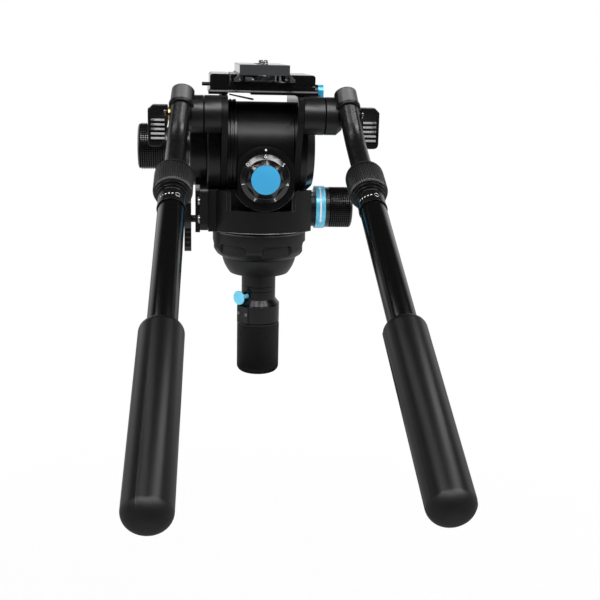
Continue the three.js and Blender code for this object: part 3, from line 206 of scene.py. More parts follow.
# the finish's own name, the record's slot, colour, roughness, and what isn't as in a plain finish
FINISHES = {
    "paint": ("ball_paint", "ball_paint", (0.0055, 0.0055, 0.0058), 0.34,
              dict(grain=0.5, bump=0.35, spread=0.04)),
    "ball": ("half_ball_paint", "ball_paint", (0.0095, 0.0095, 0.0099), 0.34,
             dict(grain=0.5, bump=0.35, spread=0.04)),
    "satin": ("body_satin", "body_satin", (0.0052, 0.0052, 0.0054), 0.32,
              dict(grain=0.4, bump=0.35, spread=0.03, specular=0.6)),
    "block": ("block_paint", "body_satin", (0.0046, 0.0046, 0.0048), 0.29,
              dict(grain=0.4, bump=0.35, spread=0.03, specular=0.3)),
    "smooth": ("body_smooth", "body_satin", (0.0040, 0.0040, 0.0042), 0.22, dict(bump=0.10, spread=0.03)),
    # the arm's socket: rougher, and a lighter grey that is painted light from above
    "socket_painted_light": ("socket_grey_painted_light", "body_satin", (0.034, 0.034, 0.035), 0.46,
             dict(grain=0.4, bump=0.4, spread=0.04, specular=1.0)),
    "tube": ("tube_black", "tube_black", (0.0024, 0.0024, 0.0026), 0.17,
             dict(bump=0.03, spread=0.015, specular=0.4)),
    "bend": ("bent_tube", "tube_black", (0.0030, 0.0030, 0.0032), 0.27,
             dict(bump=0.03, spread=0.015, specular=0.7)),
    "plastic": ("knob_plastic", "knob_plastic", (0.0050, 0.0050, 0.0052), 0.34, dict()),
    "rubber": ("grip_rubber", "grip_rubber", (0.0030, 0.0030, 0.0033), 0.33,
               dict(grain=0.45, bump=0.10, spread=0.015, specular=0.36)),
    # the grip's round end: rougher, and lighter than the grip, painted light on an end that faces away from
    # the lamps
    "rubber_end_painted_light": ("grip_end_painted_light", "grip_rubber", (0.0070, 0.0070, 0.0076), 0.46,
                   dict(grain=0.45, bump=0.12, spread=0.015, specular=0.42)),
    "ribs": ("collar_rubber", "grip_rubber", (0.0052, 0.0052, 0.0055), 0.36,
             dict(grain=0.45, bump=0.3, spread=0.05, specular=0.8)),
    "knurl": ("knurl_black", "grip_rubber", (0.0062, 0.0062, 0.0066), 0.27,
              dict(bump=0.15, specular=1.0, coat=1.0, coat_rough=0.24)),
    "weave": ("tie_knob_black", "grip_rubber", (0.0080, 0.0080, 0.0085), 0.40, dict(bump=0.3, specular=0.6)),
    "grey": ("plate_grey", "plate_grey", (0.042, 0.043, 0.045), 0.36, dict(metallic=0.2, bump=0.4)),
    "matte": ("cheek_black", "body_satin", (0.0042, 0.0042, 0.0044), 0.42,
              dict(grain=0.4, bump=0.3, spread=0.04, specular=0.25)),
    "polished": ("polished_black", None, (0.0040, 0.0040, 0.0042), 0.10, dict(bump=0.02, spread=0.02)),
    "polished_grey": ("polished_grey", None, (0.030, 0.031, 0.033), 0.07,
                      dict(metallic=0.5, specular=1.0, bump=0.02, spread=0.02)),
    # edge: bright bare metal on edges, beads and flat tops of the dark parts, a metal finish that paints
    # highlight lines
    "edge": ("metal_edge_painted_highlight", "body_satin", (0.26, 0.26, 0.27), 0.25, dict(metallic=1.0, bump=0.1, vary=0.1)),
    "bright": ("inner_grey", "plate_grey", (0.40, 0.40, 0.40), 0.40, dict(bump=0.2)),
    "blue": ("accent_blue", "accent_blue", (0.050, 0.44, 0.76), 0.24,
             dict(metallic=0.35, grain=0.25, bump=0.15, vary=0.08, coat=0.8)),
    # the pan ring's blue, lighter than the accent blue: painted light that lifts the shade the head casts on
    # it
    "ring_blue_painted_light": ("ring_blue_painted_light", "accent_blue", (0.16, 0.66, 0.95), 0.26,
                  dict(metallic=0.35, grain=0.25, bump=0.15, vary=0.06, coat=1.0, coat_rough=0.22)),
    "disc": ("dial_blue", "accent_blue", (0.043, 0.36, 0.66), 0.40,
             dict(metallic=0.2, grain=0.35, bump=0.6, vary=0.12)),
    "pale": ("pale_blue", "accent_blue", (0.19, 0.68, 0.95), 0.34, dict(metallic=0.1, bump=0.3, vary=0.1)),
    "steel": ("bare_steel", "bare_steel", (0.60, 0.61, 0.62), 0.28, dict(metallic=1.0, bump=0.2, vary=0.1)),
    "brass": ("washer_brass", "washer_brass", (0.74, 0.50, 0.20), 0.30,
              dict(metallic=1.0, bump=0.2, vary=0.1)),
    "gloss": ("lever_gloss", "knob_plastic", (0.0050, 0.0050, 0.0053), 0.20,
              dict(bump=0.08, spread=0.03, specular=1.0)),
    "ring": ("dial_black", "knob_plastic", (0.0040, 0.0040, 0.0042), 0.20,
             dict(bump=0.08, spread=0.03, specular=1.0)),
    # groove: a dull, darker black, painted shade for grooves, seams and rims
    "groove": ("groove_painted_shade", "grip_rubber", (0.0030, 0.0030, 0.0031), 0.60, dict(bump=0.3, specular=0.10)),
    "white": ("dial_white", "ball_paint", (0.80, 0.81, 0.82), 0.45, dict(bump=0.1, vary=0.04)),
}
M = {key: finish(name, colour, rough, **rest) for key, (name, slot, colour, rough, rest) in FINISHES.items()}


# ---------- mesh helpers, all in millimetres ----------
class Axis:
    """A line to turn a profile about: origin, direction, and the direction of angle zero."""

    def __init__(self, origin, along, zero):
        self.o = Vector(origin)
        self.a = Vector(along).normalized()
        self.u = (Vector(zero) - self.a * Vector(zero).dot(self.a)).normalized()
        self.w = self.a.cross(self.u)

    def at(self, station, radius, angle):
        return self.o + self.a * station + (self.u * cos(angle) + self.w * sin(angle)) * radius


def axis_x(z):
    return Axis((0, 0, z), (1, 0, 0), (0, 0, 1))


def axis_z(y=0):
    return Axis((0, y, 0), (0, 0, 1), (0, -1, 0))


def axis_rear(x, z):
    return Axis((x, 0, z), (0, -1, 0), (0, 0, 1))


def soften(points, radius, steps=3):
    """Rounds each corner of a profile or outline by a short curve; radius may be one per corner."""
    closed = points[0] == points[-1]
    ring = points[:-1] if closed else points
    out = []
    count = len(ring)
    for i, p in enumerate(ring):
        r = radius[i] if isinstance(radius, (list, tuple)) else radius
        ends = not closed and i in (0, count - 1)
        if ends or r <= 0:
            out.append(tuple(p))
            continue
        a, b, c = Vector(ring[i - 1]), Vector(p), Vector(ring[(i + 1) % count])
        da, dc = min(r, (a - b).length * 0.45), min(r, (c - b).length * 0.45)
        if da < 1e-6 or dc < 1e-6:
            out.append(tuple(p))
            continue
        s, e = b + (a - b).normalized() * da, b + (c - b).normalized() * dc
        for k in range(steps + 1):
            t = k / steps
            out.append(tuple(s * (1 - t) ** 2 + b * 2 * t * (1 - t) + e * t * t))
    if closed:
        out.append(out[0])
    return out


def shade(me, angle):
    me.shade_smooth()
    me.set_sharp_from_angle(angle=radians(angle))


def place_piece(ob, body, mat, nodes=(), angle=SMOOTH_ANGLE):
    """Gives a piece its finish, and says what it rides on and which CAD nodes it stands for."""
    ob.data.materials.clear()
    ob.data.materials.append(M[mat])
    if angle:
        shade(ob.data, angle)
    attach(ob, body)
    if nodes:
        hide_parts(*nodes)
    return ob


def mesh_object(name, verts, faces):
    """A closed mesh from points in millimetres, with its normals outwards."""
    me = bpy.data.meshes.new(name)
    me.from_pydata([tuple(Vector(v) * MM) for v in verts], [], faces)
    me.validate()
    bm = bmesh.new()
    bm.from_mesh(me)
    bmesh.ops.recalc_face_normals(bm, faces=bm.faces)
    bm.to_mesh(me)
    bm.free()
    return added(name, me)


def turned_mesh(name, axis, profile, steps=96, wave=None, form=None):
    """Turned body from (station, radius) pairs. steps is a count or a list of angles; wave may change a
    radius, and form may change angle, station and radius."""
    angles = steps if isinstance(steps, list) else [2 * pi * k / steps for k in range(steps)]
    steps = len(angles)
    closed = profile[0] == profile[-1]
    rows = profile[:-1] if closed else profile
    verts, faces, rings = [], [], []
    for station, radius in rows:
        if radius < 1e-6:
            rings.append([len(verts)])
            verts.append(axis.at(station, 0, 0))
            continue
        rings.append(list(range(len(verts), len(verts) + steps)))
        for k, angle in enumerate(angles):
            where = (angle, station, radius)
            if wave:
                where = (angle, station, wave(*where))
            if form:
                where = form(k, *where)
            verts.append(axis.at(where[1], where[2], where[0]))
    pairs = list(zip(rings, rings[1:])) + ([(rings[-1], rings[0])] if closed else [])
    for lower, upper in pairs:
        for k in range(steps):
            n = (k + 1) % steps
            if len(lower) == 1 and len(upper) == 1:
                continue
            if len(lower) == 1:
                faces.append((lower[0], upper[k], upper[n]))
            elif len(upper) == 1:
                faces.append((lower[k], upper[0], lower[n]))
            else:
                faces.append((lower[k], upper[k], upper[n], lower[n]))
    return mesh_object(name, verts, faces)


def turned(name, axis, profile, body, mat, nodes=(), steps=96, wave=None, angle=SMOOTH_ANGLE, form=None):
    return place_piece(turned_mesh(name, axis, profile, steps, wave, form), body, mat, nodes, angle)


def teeth(count, shares=(0.0, 0.3, 0.7)):
    """Angles of a toothed ring: share 0 of each tooth is its groove."""
    return [2 * pi * (k + share) / count for k in range(count) for share in shares]


def knurl_rows(start, end, radius, rows):
    """Rows of a grip's profile that let knurl_wave cut rings into it."""
    pitch = (end - start) / rows
    return [(start + pitch * (i + share), radius) for i in range(rows) for share in GROOVED]


def knurl_wave(start, end, rows, count, ring_depth, line_depth):
    """Straight-walled grooves round and along a grip, which leave small squares between them."""
    pitch = (end - start) / rows

    def wave(angle, station, radius):
        if not start - 0.01 <= station <= end - 0.01:
            return radius
        across, along = (angle * count / (2 * pi) + 0.01) % 1, ((station - start) / pitch + 0.01) % 1
        cut = line_depth if across < GROOVE_SHARE else 0
        if along < GROOVE_SHARE:
            cut = max(cut, ring_depth)
        return radius - cut

    return wave


def ribbon_mesh(name, rows):
    """A thin closed strip: each row is (left point, right point, outward direction)."""
    verts, faces = [], []
    for left, right, out in rows:
        verts += [left, right, right + out * PAINT_THICKNESS, left + out * PAINT_THICKNESS]
    for i in range(len(rows) - 1):
        a, b = 4 * i, 4 * i + 4
        faces += [(a + j, a + (j + 1) % 4, b + (j + 1) % 4, b + j) for j in range(4)]
    last = 4 * (len(rows) - 1)
    faces += [(3, 2, 1, 0), (last, last + 1, last + 2, last + 3)]
    return mesh_object(name, verts, faces)


def ring_strip(name, axis, radius, rows):
    """A painted mark round a turned piece, from rows of (angle, station, half width)."""
    def out(angle):
        return axis.u * cos(angle) + axis.w * sin(angle)

    return ribbon_mesh(name, [(axis.at(s - half, radius, a), axis.at(s + half, radius, a), out(a))
                              for a, s, half in rows])


def bead_mesh(name, points, radius, sides=8):
    """A thin round bead along a line of points."""
    verts, faces = [], []
    for i, point in enumerate(points):
        along = (points[min(i + 1, len(points) - 1)] - points[max(i - 1, 0)]).normalized()
        first = along.cross(Vector((0, 1, 0.001))).normalized()
        other = along.cross(first)
        verts += [point + (first * cos(2 * pi * k / sides) + other * sin(2 * pi * k / sides)) * radius
                  for k in range(sides)]
    for i in range(len(points) - 1):
        for k in range(sides):
            a, b = i * sides + k, i * sides + (k + 1) % sides
            faces.append((a, b, b + sides, a + sides))
    faces += [tuple(range(sides - 1, -1, -1)), tuple(range(len(verts) - sides, len(verts)))]
    return mesh_object(name, verts, faces)


def join(objects, name):
    """Joins meshes into one piece."""
    bm = bmesh.new()
    for ob in objects:
        bm.from_mesh(ob.data)
    me = bpy.data.meshes.new(name)
    bm.to_mesh(me)
    bm.free()
    for ob in objects:
        bpy.data.objects.remove(ob)
    return added(name, me)


def prism_mesh(name, direction, outline, start, end):
    """Flat outline pushed along an axis: (x, y) along z, (y, z) along x, (x, z) along y."""
    put = {"z": lambda p, s: (p[0], p[1], s), "x": lambda p, s: (s, p[0], p[1]),
           "y": lambda p, s: (p[0], s, p[1])}[direction]
    n = len(outline)
    verts = [put(p, start) for p in outline] + [put(p, end) for p in outline]
    faces = [tuple(range(n)), tuple(range(2 * n - 1, n - 1, -1))]
    faces += [(i, i + n, (i + 1) % n + n, (i + 1) % n) for i in range(n)]
    return mesh_object(name, verts, faces)


def box_mesh(name, x0, x1, y0, y1, z0, z1):
    return prism_mesh(name, "z", [(x0, y0), (x1, y0), (x1, y1), (x0, y1)], z0, z1)


def apply_modifiers(ob):
    graph = bpy.context.evaluated_depsgraph_get()
    me = bpy.data.meshes.new_from_object(ob.evaluated_get(graph), depsgraph=graph)
    old = ob.data
    ob.modifiers.clear()
    ob.data = me
    bpy.data.meshes.remove(old)
    return ob


def boolean(ob, tools, operation="DIFFERENCE"):
    """Cuts, adds or meets a mesh with others, which are used up."""
    for tool in tools:
        cut = ob.modifiers.new("cut", "BOOLEAN")
        cut.operation = operation
        cut.solver = "EXACT"
        cut.object = tool
        apply_modifiers(ob)
        bpy.data.objects.remove(tool)
    return ob


def bevelled(ob, width):
    """Breaks the sharp edges of a solid so that they catch the light."""
    bm = bmesh.new()
    bm.from_mesh(ob.data)
    bmesh.ops.remove_doubles(bm, verts=bm.verts, dist=1e-6)
    bmesh.ops.dissolve_limit(bm, angle_limit=radians(1), verts=bm.verts, edges=bm.edges)
    bm.to_mesh(ob.data)
    bm.free()
    bevel = ob.modifiers.new("bevel", "BEVEL")
    bevel.width = width * MM
    bevel.segments = BEVEL_SEGMENTS
    bevel.limit_method = "ANGLE"
    bevel.angle_limit = radians(BEVEL_ANGLE)
    bevel.use_clamp_overlap = True
    bevel.miter_outer = "MITER_ARC"
    return apply_modifiers(ob)


def weighted(ob):
    """Smooth shading that leaves the large faces flat."""
    shade(ob.data, SHARP_ANGLE)
    normals = ob.modifiers.new("normals", "WEIGHTED_NORMAL")
    normals.keep_sharp = True
    normals.weight = 80
    return apply_modifiers(ob)


def solid_piece(ob, body, mat, nodes=(), bevel=0.5):
    """A piece with flat faces, its edges broken."""
    if bevel:
        bevelled(ob, bevel)
    weighted(ob)
    return place_piece(ob, body, mat, nodes, angle=0)


def copied(node, bevel, mat, tools=()):
    """A dressed copy of a CAD node, with its edges broken and its rounds smooth."""
    me = frame["nodes"][node].data.copy()
    ob = added(node + "_skin", me)
    bm = bmesh.new()
    bm.from_mesh(me)
    bmesh.ops.remove_doubles(bm, verts=bm.verts, dist=2e-6)
    bm.to_mesh(me)
    bm.free()
    boolean(ob, tools)
    return solid_piece(ob, node_body[node], mat, [node], bevel)


def carved(node, bevel, mat, cuts=(), adds=()):
    """A dressed copy whose edges are broken first and which is then cut and added to."""
    ob = copied(node, bevel, mat)
    boolean(ob, cuts)
    boolean(ob, adds, "UNION")
    return weighted(ob)


def second_finish(ob, mat, test):
    """Gives another finish to the faces that the test picks by centre (in mm) and normal."""
    ob.data.materials.append(M[mat])
    index = len(ob.data.materials) - 1
    for face in ob.data.polygons:
        if test(face.center / MM, face.normal):
            face.material_index = index


def polish(ob, mat, axes="xz"):
    """Gives the flat faces that look up, or along x as well, a smoother finish."""
    second_finish(ob, mat, lambda c, n: n.z > FLAT_FACE or ("x" in axes and abs(n.x) > FLAT_FACE))


def paint_groove_shade(ob, axis, start, end, radius):
    """Paints shade into the grooves cut below a radius: their floors and walls get a dull, darker finish."""
    def test(centre, normal):
        spot = centre - axis.o
        station = spot.dot(axis.a)
        return start < station < end and (spot - axis.a * station).length < radius

    second_finish(ob, "groove", test)


# ---------- half ball and tie-down ----------
def smooth_step(x, a, b):
    t = max(0.0, min(1.0, (x - a) / (b - a)))
    return t * t * (3 - 2 * t)


def half_ball():
    """The shell of the half ball, its flange with six shallow pockets, and a bright metal finish on its top
    edge that paints a highlight line.
    """
    rows = [(-23.5, 17.5)]
    for i in range(25):
        a = radians(-38.8 + (38.8 - 10.8) * i / 24)
        rows.append((BALL_R * sin(a), BALL_R * cos(a)))
    rows += [(-4, 41.8), (-2, 43.2), (2, FLANGE_R), (11.4, FLANGE_R), (19.0, FLANGE_R), (19.2, 46.3),
             (19.6, 46.4), (20.0, 46.3), (20.3, 45.8), (21.3, 45), (21.3, 11)]
    profile = soften(rows, [0, 0.8] + [0] * 24 + [1.2, 0.8, 2.0] + [0] * 6 + [0.6, 0.6, 0], 4)
    dense = []
    for (s0, r0), (s1, r1) in zip(profile, profile[1:]):
        pieces = max(1, int(abs(s1 - s0) / 0.5)) if s0 > -6 and s1 < 12 else 1
        dense += [(s0 + (s1 - s0) * k / pieces, r0 + (r1 - r0) * k / pieces) for k in range(pieces)]
    dense.append(profile[-1])

    def pockets(angle, station, radius):
        world = degrees(angle) - 90
        place = (world + 150 + 360) % 60
        inside = smooth_step(place, -0.6, 0.9) * (1 - smooth_step(place, 39.1, 40.6))
        corner = 2.2 * (1 - smooth_step(min(place, 40 - place), 0.5, 5))
        low = 1 - smooth_step(station, 8.2 - corner, 9.4 - corner)
        return min(radius, FLANGE_R - 2.6 * inside * low)

    ob = turned("half_ball_shell", axis_z(), dense, "bowl_side", "ball", ["half_ball"], 360, pockets)
    # the top edge of the flange gets the bright metal: a painted highlight line
    second_finish(ob, "edge", lambda c, n: c.z > 19.1 and n.z < 0.95 and c.xy.length > 44)


def tie_down():
    """Tie-down neck, its collar and screws, the blue release button and the knurled knob."""
    ax = axis_z()
    neck = [(-23.8, 6.3), (-23.8, 17), (-36.6, 17), (-36.6, 16.3), (-37.4, 16.3), (-37.4, 17),
            (-41.6, 17), (-41.6, 16.5), (-42.2, 16.5), (-42.2, 17), (-50.4, 17), (-55.5, 21.2),
            (-55.5, 6.3), (-23.8, 6.3)]
    side = Vector((-sin(radians(50)), -cos(radians(50)), 0))
    line = Axis((0, 0, -47), side, (0, 0, 1))
    ob = turned_mesh("tie_neck_skin", ax, soften(neck, 0.25, 2), 96)
    well = turned_mesh("well", line, [(14.2, 0), (14.2, 5), (26, 5), (26, 0)], 40)
    hole = turned_mesh("hole", line, [(7.5, 0), (7.5, 2.6), (20, 2.6), (20, 0)], 24)
    boolean(ob, [well, hole])
    solid_piece(ob, "bowl_side", "smooth", ["tie_down_neck"], bevel=0)
    copied("tie_down_collar", 0.5, "smooth")
    tangent = Vector((-side.y, side.x, 0))
    for index, shift in ((1, -5.5), (2, 5.5)):
        spot = Axis(Vector((0, 0, -64.2)) + tangent * shift, side, (0, 0, 1))
        rows = [(21.9, 0), (21.9, 1.7), (22.5, 1.5), (22.6, 1.0), (22.1, 0.8), (22.1, 0)]
        turned("collar_screw_%d" % index, spot, rows, "bowl_side", "steel", steps=24)
    turned("release_button_cap", line,
           soften([(14.8, 0), (14.8, 2.2), (25.5, 2.2), (25.5, 7), (27.8, 7), (27.8, 0)],
                  [0, 0.2, 0.8, 0.6, 0.6, 0], 4), "release", "pale", ["release_button"], 64)
    knob = [(-127.2, 0)]
    for i in range(9):
        a = radians(-90 + 90 * i / 8)
        knob.append((-121.2 + 6 * sin(a), 15.3 + 6 * cos(a)))
    start, length, rows, count = -121.2, 44.4, 30, 88
    knob += [(start + length * i / rows, 21.3) for i in range(1, rows + 1)]
    knob += [(-76.4, 21.0), (-75.4, 21.1), (-74.9, 20.9), (-74.7, 20.5), (-74.7, 6.3), (-119.9, 6.3),
             (-119.9, 0)]

    def twisted(index, angle, station, radius):
        if radius < 21.2:
            on_rounding = radius > 19.8 and station < -121
            return angle, station, radius - (0.12 if index % 3 == 0 and on_rounding else 0)
        turn = (station - start) / length * rows * 2 * pi / count
        return angle + turn, station, radius - (0.38 if index % 3 == 0 else 0)

    ob = turned("tie_knob_skin", ax, knob, "tie_knob", "weave", ["tie_down_knob"], teeth(count), form=twisted)
    # painted shade in the knob's grooves
    paint_groove_shade(ob, ax, -121.0, -77.0, 21.24)


# ---------- handles ----------
def mirror(v, side):
    return Vector((v[0] * side, v[1], v[2]))


def tube_mesh(name, stations, side_dir, outer, inner, steps=48):
    """A hollow tube along (centre, direction) stations."""
    verts, faces = [], []
    for radius in (outer, inner):
        for centre, line in stations:
            other = line.cross(side_dir)
            for k in range(steps):
                a = 2 * pi * k / steps
                verts.append(centre + side_dir * radius * cos(a) + other * radius * sin(a))
    rows = len(stations)
    shift = rows * steps
    for i in range(rows - 1):
        for k in range(steps):
            n = (k + 1) % steps
            a, b, c, d = i * steps + k, i * steps + n, (i + 1) * steps + n, (i + 1) * steps + k
            faces += [(a, b, c, d), (shift + d, shift + c, shift + b, shift + a)]
    for k in range(steps):
        n = (k + 1) % steps
        last = (rows - 1) * steps
        faces += [(k, shift + k, shift + n, n), (last + k, last + n, shift + last + n, shift + last + k)]
    return mesh_object(name, verts, faces)


def twist_collar(name, ax):
    """The ribbed collar that locks the lower tube."""
    collar = [(50, LOWER_BORE_R), (50, 12.8), (50.7, 14.2), (52.2, 15.5), (54.6, 16.3), (57, 16.5),
              (77.6, 16.5), (79.0, 16.2), (79.8, 15.4), (80, 14.9), (79.9, 14.4), (79.2, 14.2),
              (79.2, ON_TUBE_R), (59.7, ON_TUBE_R), (59.7, LOWER_BORE_R), (50, LOWER_BORE_R)]

    def ribs(index, angle, station, radius):
        in_groove = index % 3 == 0 and 50.2 < station < 79.85
        return angle, station, radius - (0.75 * smooth_step(radius, 13.8, 15.6) if in_groove else 0)

    ob = turned(name + "_twist_collar_skin", ax, collar, name + "_collar", "ribs", [name + "_twist_collar"],
                teeth(54, (0.0, 0.32, 0.68)), form=ribs, angle=60)
    # painted shade in the collar's grooves
    paint_groove_shade(ob, ax, 53.5, 78.0, 16.05)


def mark_ring(name, ax, turn):
    """The ring below the collar, with its painted dashes and circle."""
    slider, scale_r = name + "_slider", 11.7
    ring = [(80.3, ON_TUBE_R), (80.3, 14.6), (82.9, 14.6), (82.9, 13.2), (85.9, 13.2), (85.9, 12),
            (87.3, 12), (87.6, scale_r), (100.2, scale_r), (100.5, 12), (101.9, 12), (101.9, ON_TUBE_R),
            (80.3, ON_TUBE_R)]
    turned(name + "_mark_ring_skin", ax, soften(ring, [0, 0.4, 0.4, 0, 0.4, 0, 0.25, 0, 0, 0.25, 0.25, 0], 3),
           slider, "smooth", [name + "_mark_ring"], 96)
    marks = []
    for middle, half in ((48, 2.0), (36, 2.4), (23, 2.9), (9, 3.3), (-5, 3.3)):
        rows = [(radians(turn + middle + half * (k / 4 - 1)), 94.6, 0.50) for k in range(9)]
        marks.append(ring_strip("dash", ax, scale_r, rows))
    circle = [2 * pi * k / 16 for k in range(17)]
    rows = [(radians(turn - 27 + 10 * cos(a)), 94.8 + 2.0 * sin(a), 0.2) for a in circle]
    for pair in zip(rows, rows[1:]):
        marks.append(ring_strip("ring", ax, scale_r, pair))
    place_piece(join(marks, name + "_ring_marks"), slider, "white")


def clamp(name, side):
    """The arm with its toothed face, the rosette, and the ribbed lever with its cap and small screws."""
    ax = Axis((0, CLAMP_Y, CLAMP_Z), (side, 0, 0), (0, 0, 1))
    crown_height, crown_steps = 0.45, 120

    def crown(rise, face):
        """Lifts every second point of a toothed face."""
        return lambda index, angle, station, radius: (
            angle, station + (rise if index % 2 and abs(station - face) < 0.01 else 0), radius)

    cutter = turned_mesh("crown", ax, [(54.7, 11.5), (54.7, 17.9), (55.1, 17.9), (55.1, 11.5), (54.7, 11.5)],
                         crown_steps, form=crown(crown_height, 55.1))
    up = Axis(mirror(MOUTH, side), mirror(MOUTH - BEND, side), (0, 0, 1))
    dome = [(13.7, 10.45)]
    for i in range(1, 7):
        a = radians(15 * i)
        dome.append((13.7 + 2.5 * sin(a), 7.9 + 2.5 * cos(a)))
    top = turned_mesh("top", up, dome + [(16.2, 0), (23, 0), (23, 10.9), (13.7, 10.9), (13.7, 10.45)], 72)
    arm = carved(name + "_arm", 0.6, "satin", [cutter, top])

    def on_socket(centre, normal):
        spot = centre - up.o
        station = spot.dot(up.a)
        return station > 0.2 and (spot - up.a * station).length < 10.7 and abs(centre.x) > 66.4

    # the socket's faces get the lighter grey: painted light from above
    second_finish(arm, "socket_painted_light", on_socket)
    inner = 39.4 if side < 0 else 35.5
    rows = [(inner, 4.4), (inner, 17.3), (54.7, 17.3), (54.7, 11.5), (53.5, 11.5), (53.5, 4.4), (inner, 4.4)]
    turned(name + "_rosette_skin", ax, soften(rows, [0, 0.5, 0, 0, 0, 0], 2), "tilt_frame", "satin",
           [name + "_rosette"], crown_steps, form=crown(-crown_height, 54.7))
    # a dark ring in the rosette's seam: painted shade in the gap between the toothed faces
    rows = [(53.6, 11.6), (53.6, 16.4), (54.95, 16.4), (54.95, 11.6), (53.6, 11.6)]
    turned(name + "_rosette_seam_shade", ax, rows, "tilt_frame", "groove", steps=72)

    near, far = sorted((side * 88.9, side * 103.7))
    cuts = [box_mesh("panel", near, far, -64, -59.9, 110.2, 131.9)]
    bars = []
    for i in range(5):
        z = 129.2 - 4.1 * i
        shape = [(-59.4, z - 1.3), (-61.4, z - 1.05), (-61.55, z - 0.85), (-60.83, z + 0.95),
                 (-60.6, z + 1.1), (-59.4, z + 1.2)]
        bars.append(prism_mesh("bar", "x", shape, *sorted((side * 90.6, side * 102.9))))
    carved(name + "_clamp_lever", 0.8, "gloss", cuts, bars)
    for index, (x, z, r) in enumerate(((89.9, 136.9, 1.5), (89.6, 134.0, 0.9))):
        screw = Axis((side * x, 0, z), (0, -1, 0), (0, 0, 1))
        rows = [(60.4, 0), (60.4, r), (61.5, r), (61.8, r * 0.6), (61.8, 0)]
        turned("%s_lever_screw_%d" % (name, index + 1), screw, rows, name + "_lever", "steel", steps=20)
    cap = [(104.6, 0), (104.6, 5.2), (105.45, 5.2), (105.6, 4.8), (105.3, 2.4), (104.7, 2.0), (104.7, 0)]
    turned(name + "_lever_cap", ax, cap, name + "_lever", "steel", steps=36)


def handle(name, side):
    """One handle: bent upper tube, lower tube, collar, marked ring, grip, clamp and the socket's seal."""
    socket = (BEND - MOUTH).normalized()
    turn = socket.angle(HANDLE)
    across = socket.cross(HANDLE).normalized()
    inward = across.cross(socket)
    centre = BEND - socket * (BEND_R * tan(turn / 2)) + inward * BEND_R
    stations = [(MOUTH - socket * 15, socket), (MOUTH, socket)]
    for i in range(17):
        part = Quaternion(across, turn * i / 16)
        stations.append((centre + (part @ -inward) * BEND_R, part @ socket))
    stations.append((BEND + HANDLE * 145, HANDLE))
    mirrored = [(mirror(c, side), mirror(l, side)) for c, l in stations]
    tube = tube_mesh(name + "_upper_tube_skin", mirrored, mirror(across, side), UPPER_TUBE_R, UPPER_BORE_R)
    place_piece(tube, name + "_handle", "bend", [name + "_upper_tube"])

    ax = Axis(mirror(BEND, side), mirror(HANDLE, side), (0, 0, 1))
    slider = name + "_slider"
    rows = [(60, LOWER_BORE_R), (60, LOWER_TUBE_R), (393, LOWER_TUBE_R), (393, LOWER_BORE_R),
            (60, LOWER_BORE_R)]
    turned(name + "_lower_tube_skin", ax, soften(rows, 0.4, 2), slider, "tube", [name + "_lower_tube"], 72)
    twist_collar(name, ax)
    mark_ring(name, ax, 0 if side < 0 else 15)

    round_start, round_r = 391.5, 12
    grip = [(236, ON_TUBE_R), (236, 12.5), (240, GRIP_R)]
    for i in range(13):
        a = radians(90 * i / 12)
        grip.append((round_start + round_r * sin(a), GRIP_R - round_r + round_r * cos(a)))
    grip += [(404.0, 0), (393.2, 0), (393.2, ON_TUBE_R), (236, ON_TUBE_R)]
    seam = 22 if side < 0 else 98

    def mould_seam(angle, station, radius):
        if radius < 8 or station < 240 or station > 400:
            return radius
        off = min(abs((degrees(angle) - seam + shift) % 360 - 180) for shift in (540, 360))
        return radius + (0.22 if off < 0.9 else 0)

    ring = [2 * pi * k / 96 for k in range(96)]
    ring += [radians((seam + half + d) % 360) for half in (0, 180) for d in (-1.2, 0, 1.2)]
    skin = turned(name + "_grip_skin", ax, soften(grip, [0, 0.6, 3] + [0] * 17, 5), slider, "rubber",
                  [name + "_grip"], sorted(ring), mould_seam)
    # the round end gets the lighter rubber: painted light
    second_finish(skin, "rubber_end_painted_light", lambda c, n: (c - ax.o).dot(ax.a) > round_start + 1.5)
    clamp(name, side)
    seal = [(-0.6, 9.05), (-0.6, 11.3), (2.6, 11.3), (3.1, 9.05), (-0.6, 9.05)]
    turned(name + "_socket_seal", Axis(mirror(MOUTH, side), mirror(socket, side), (0, 0, 1)),
           soften(seal, [0, 0.8, 0.9, 0.2], 3), name + "_handle", "rubber", steps=64)


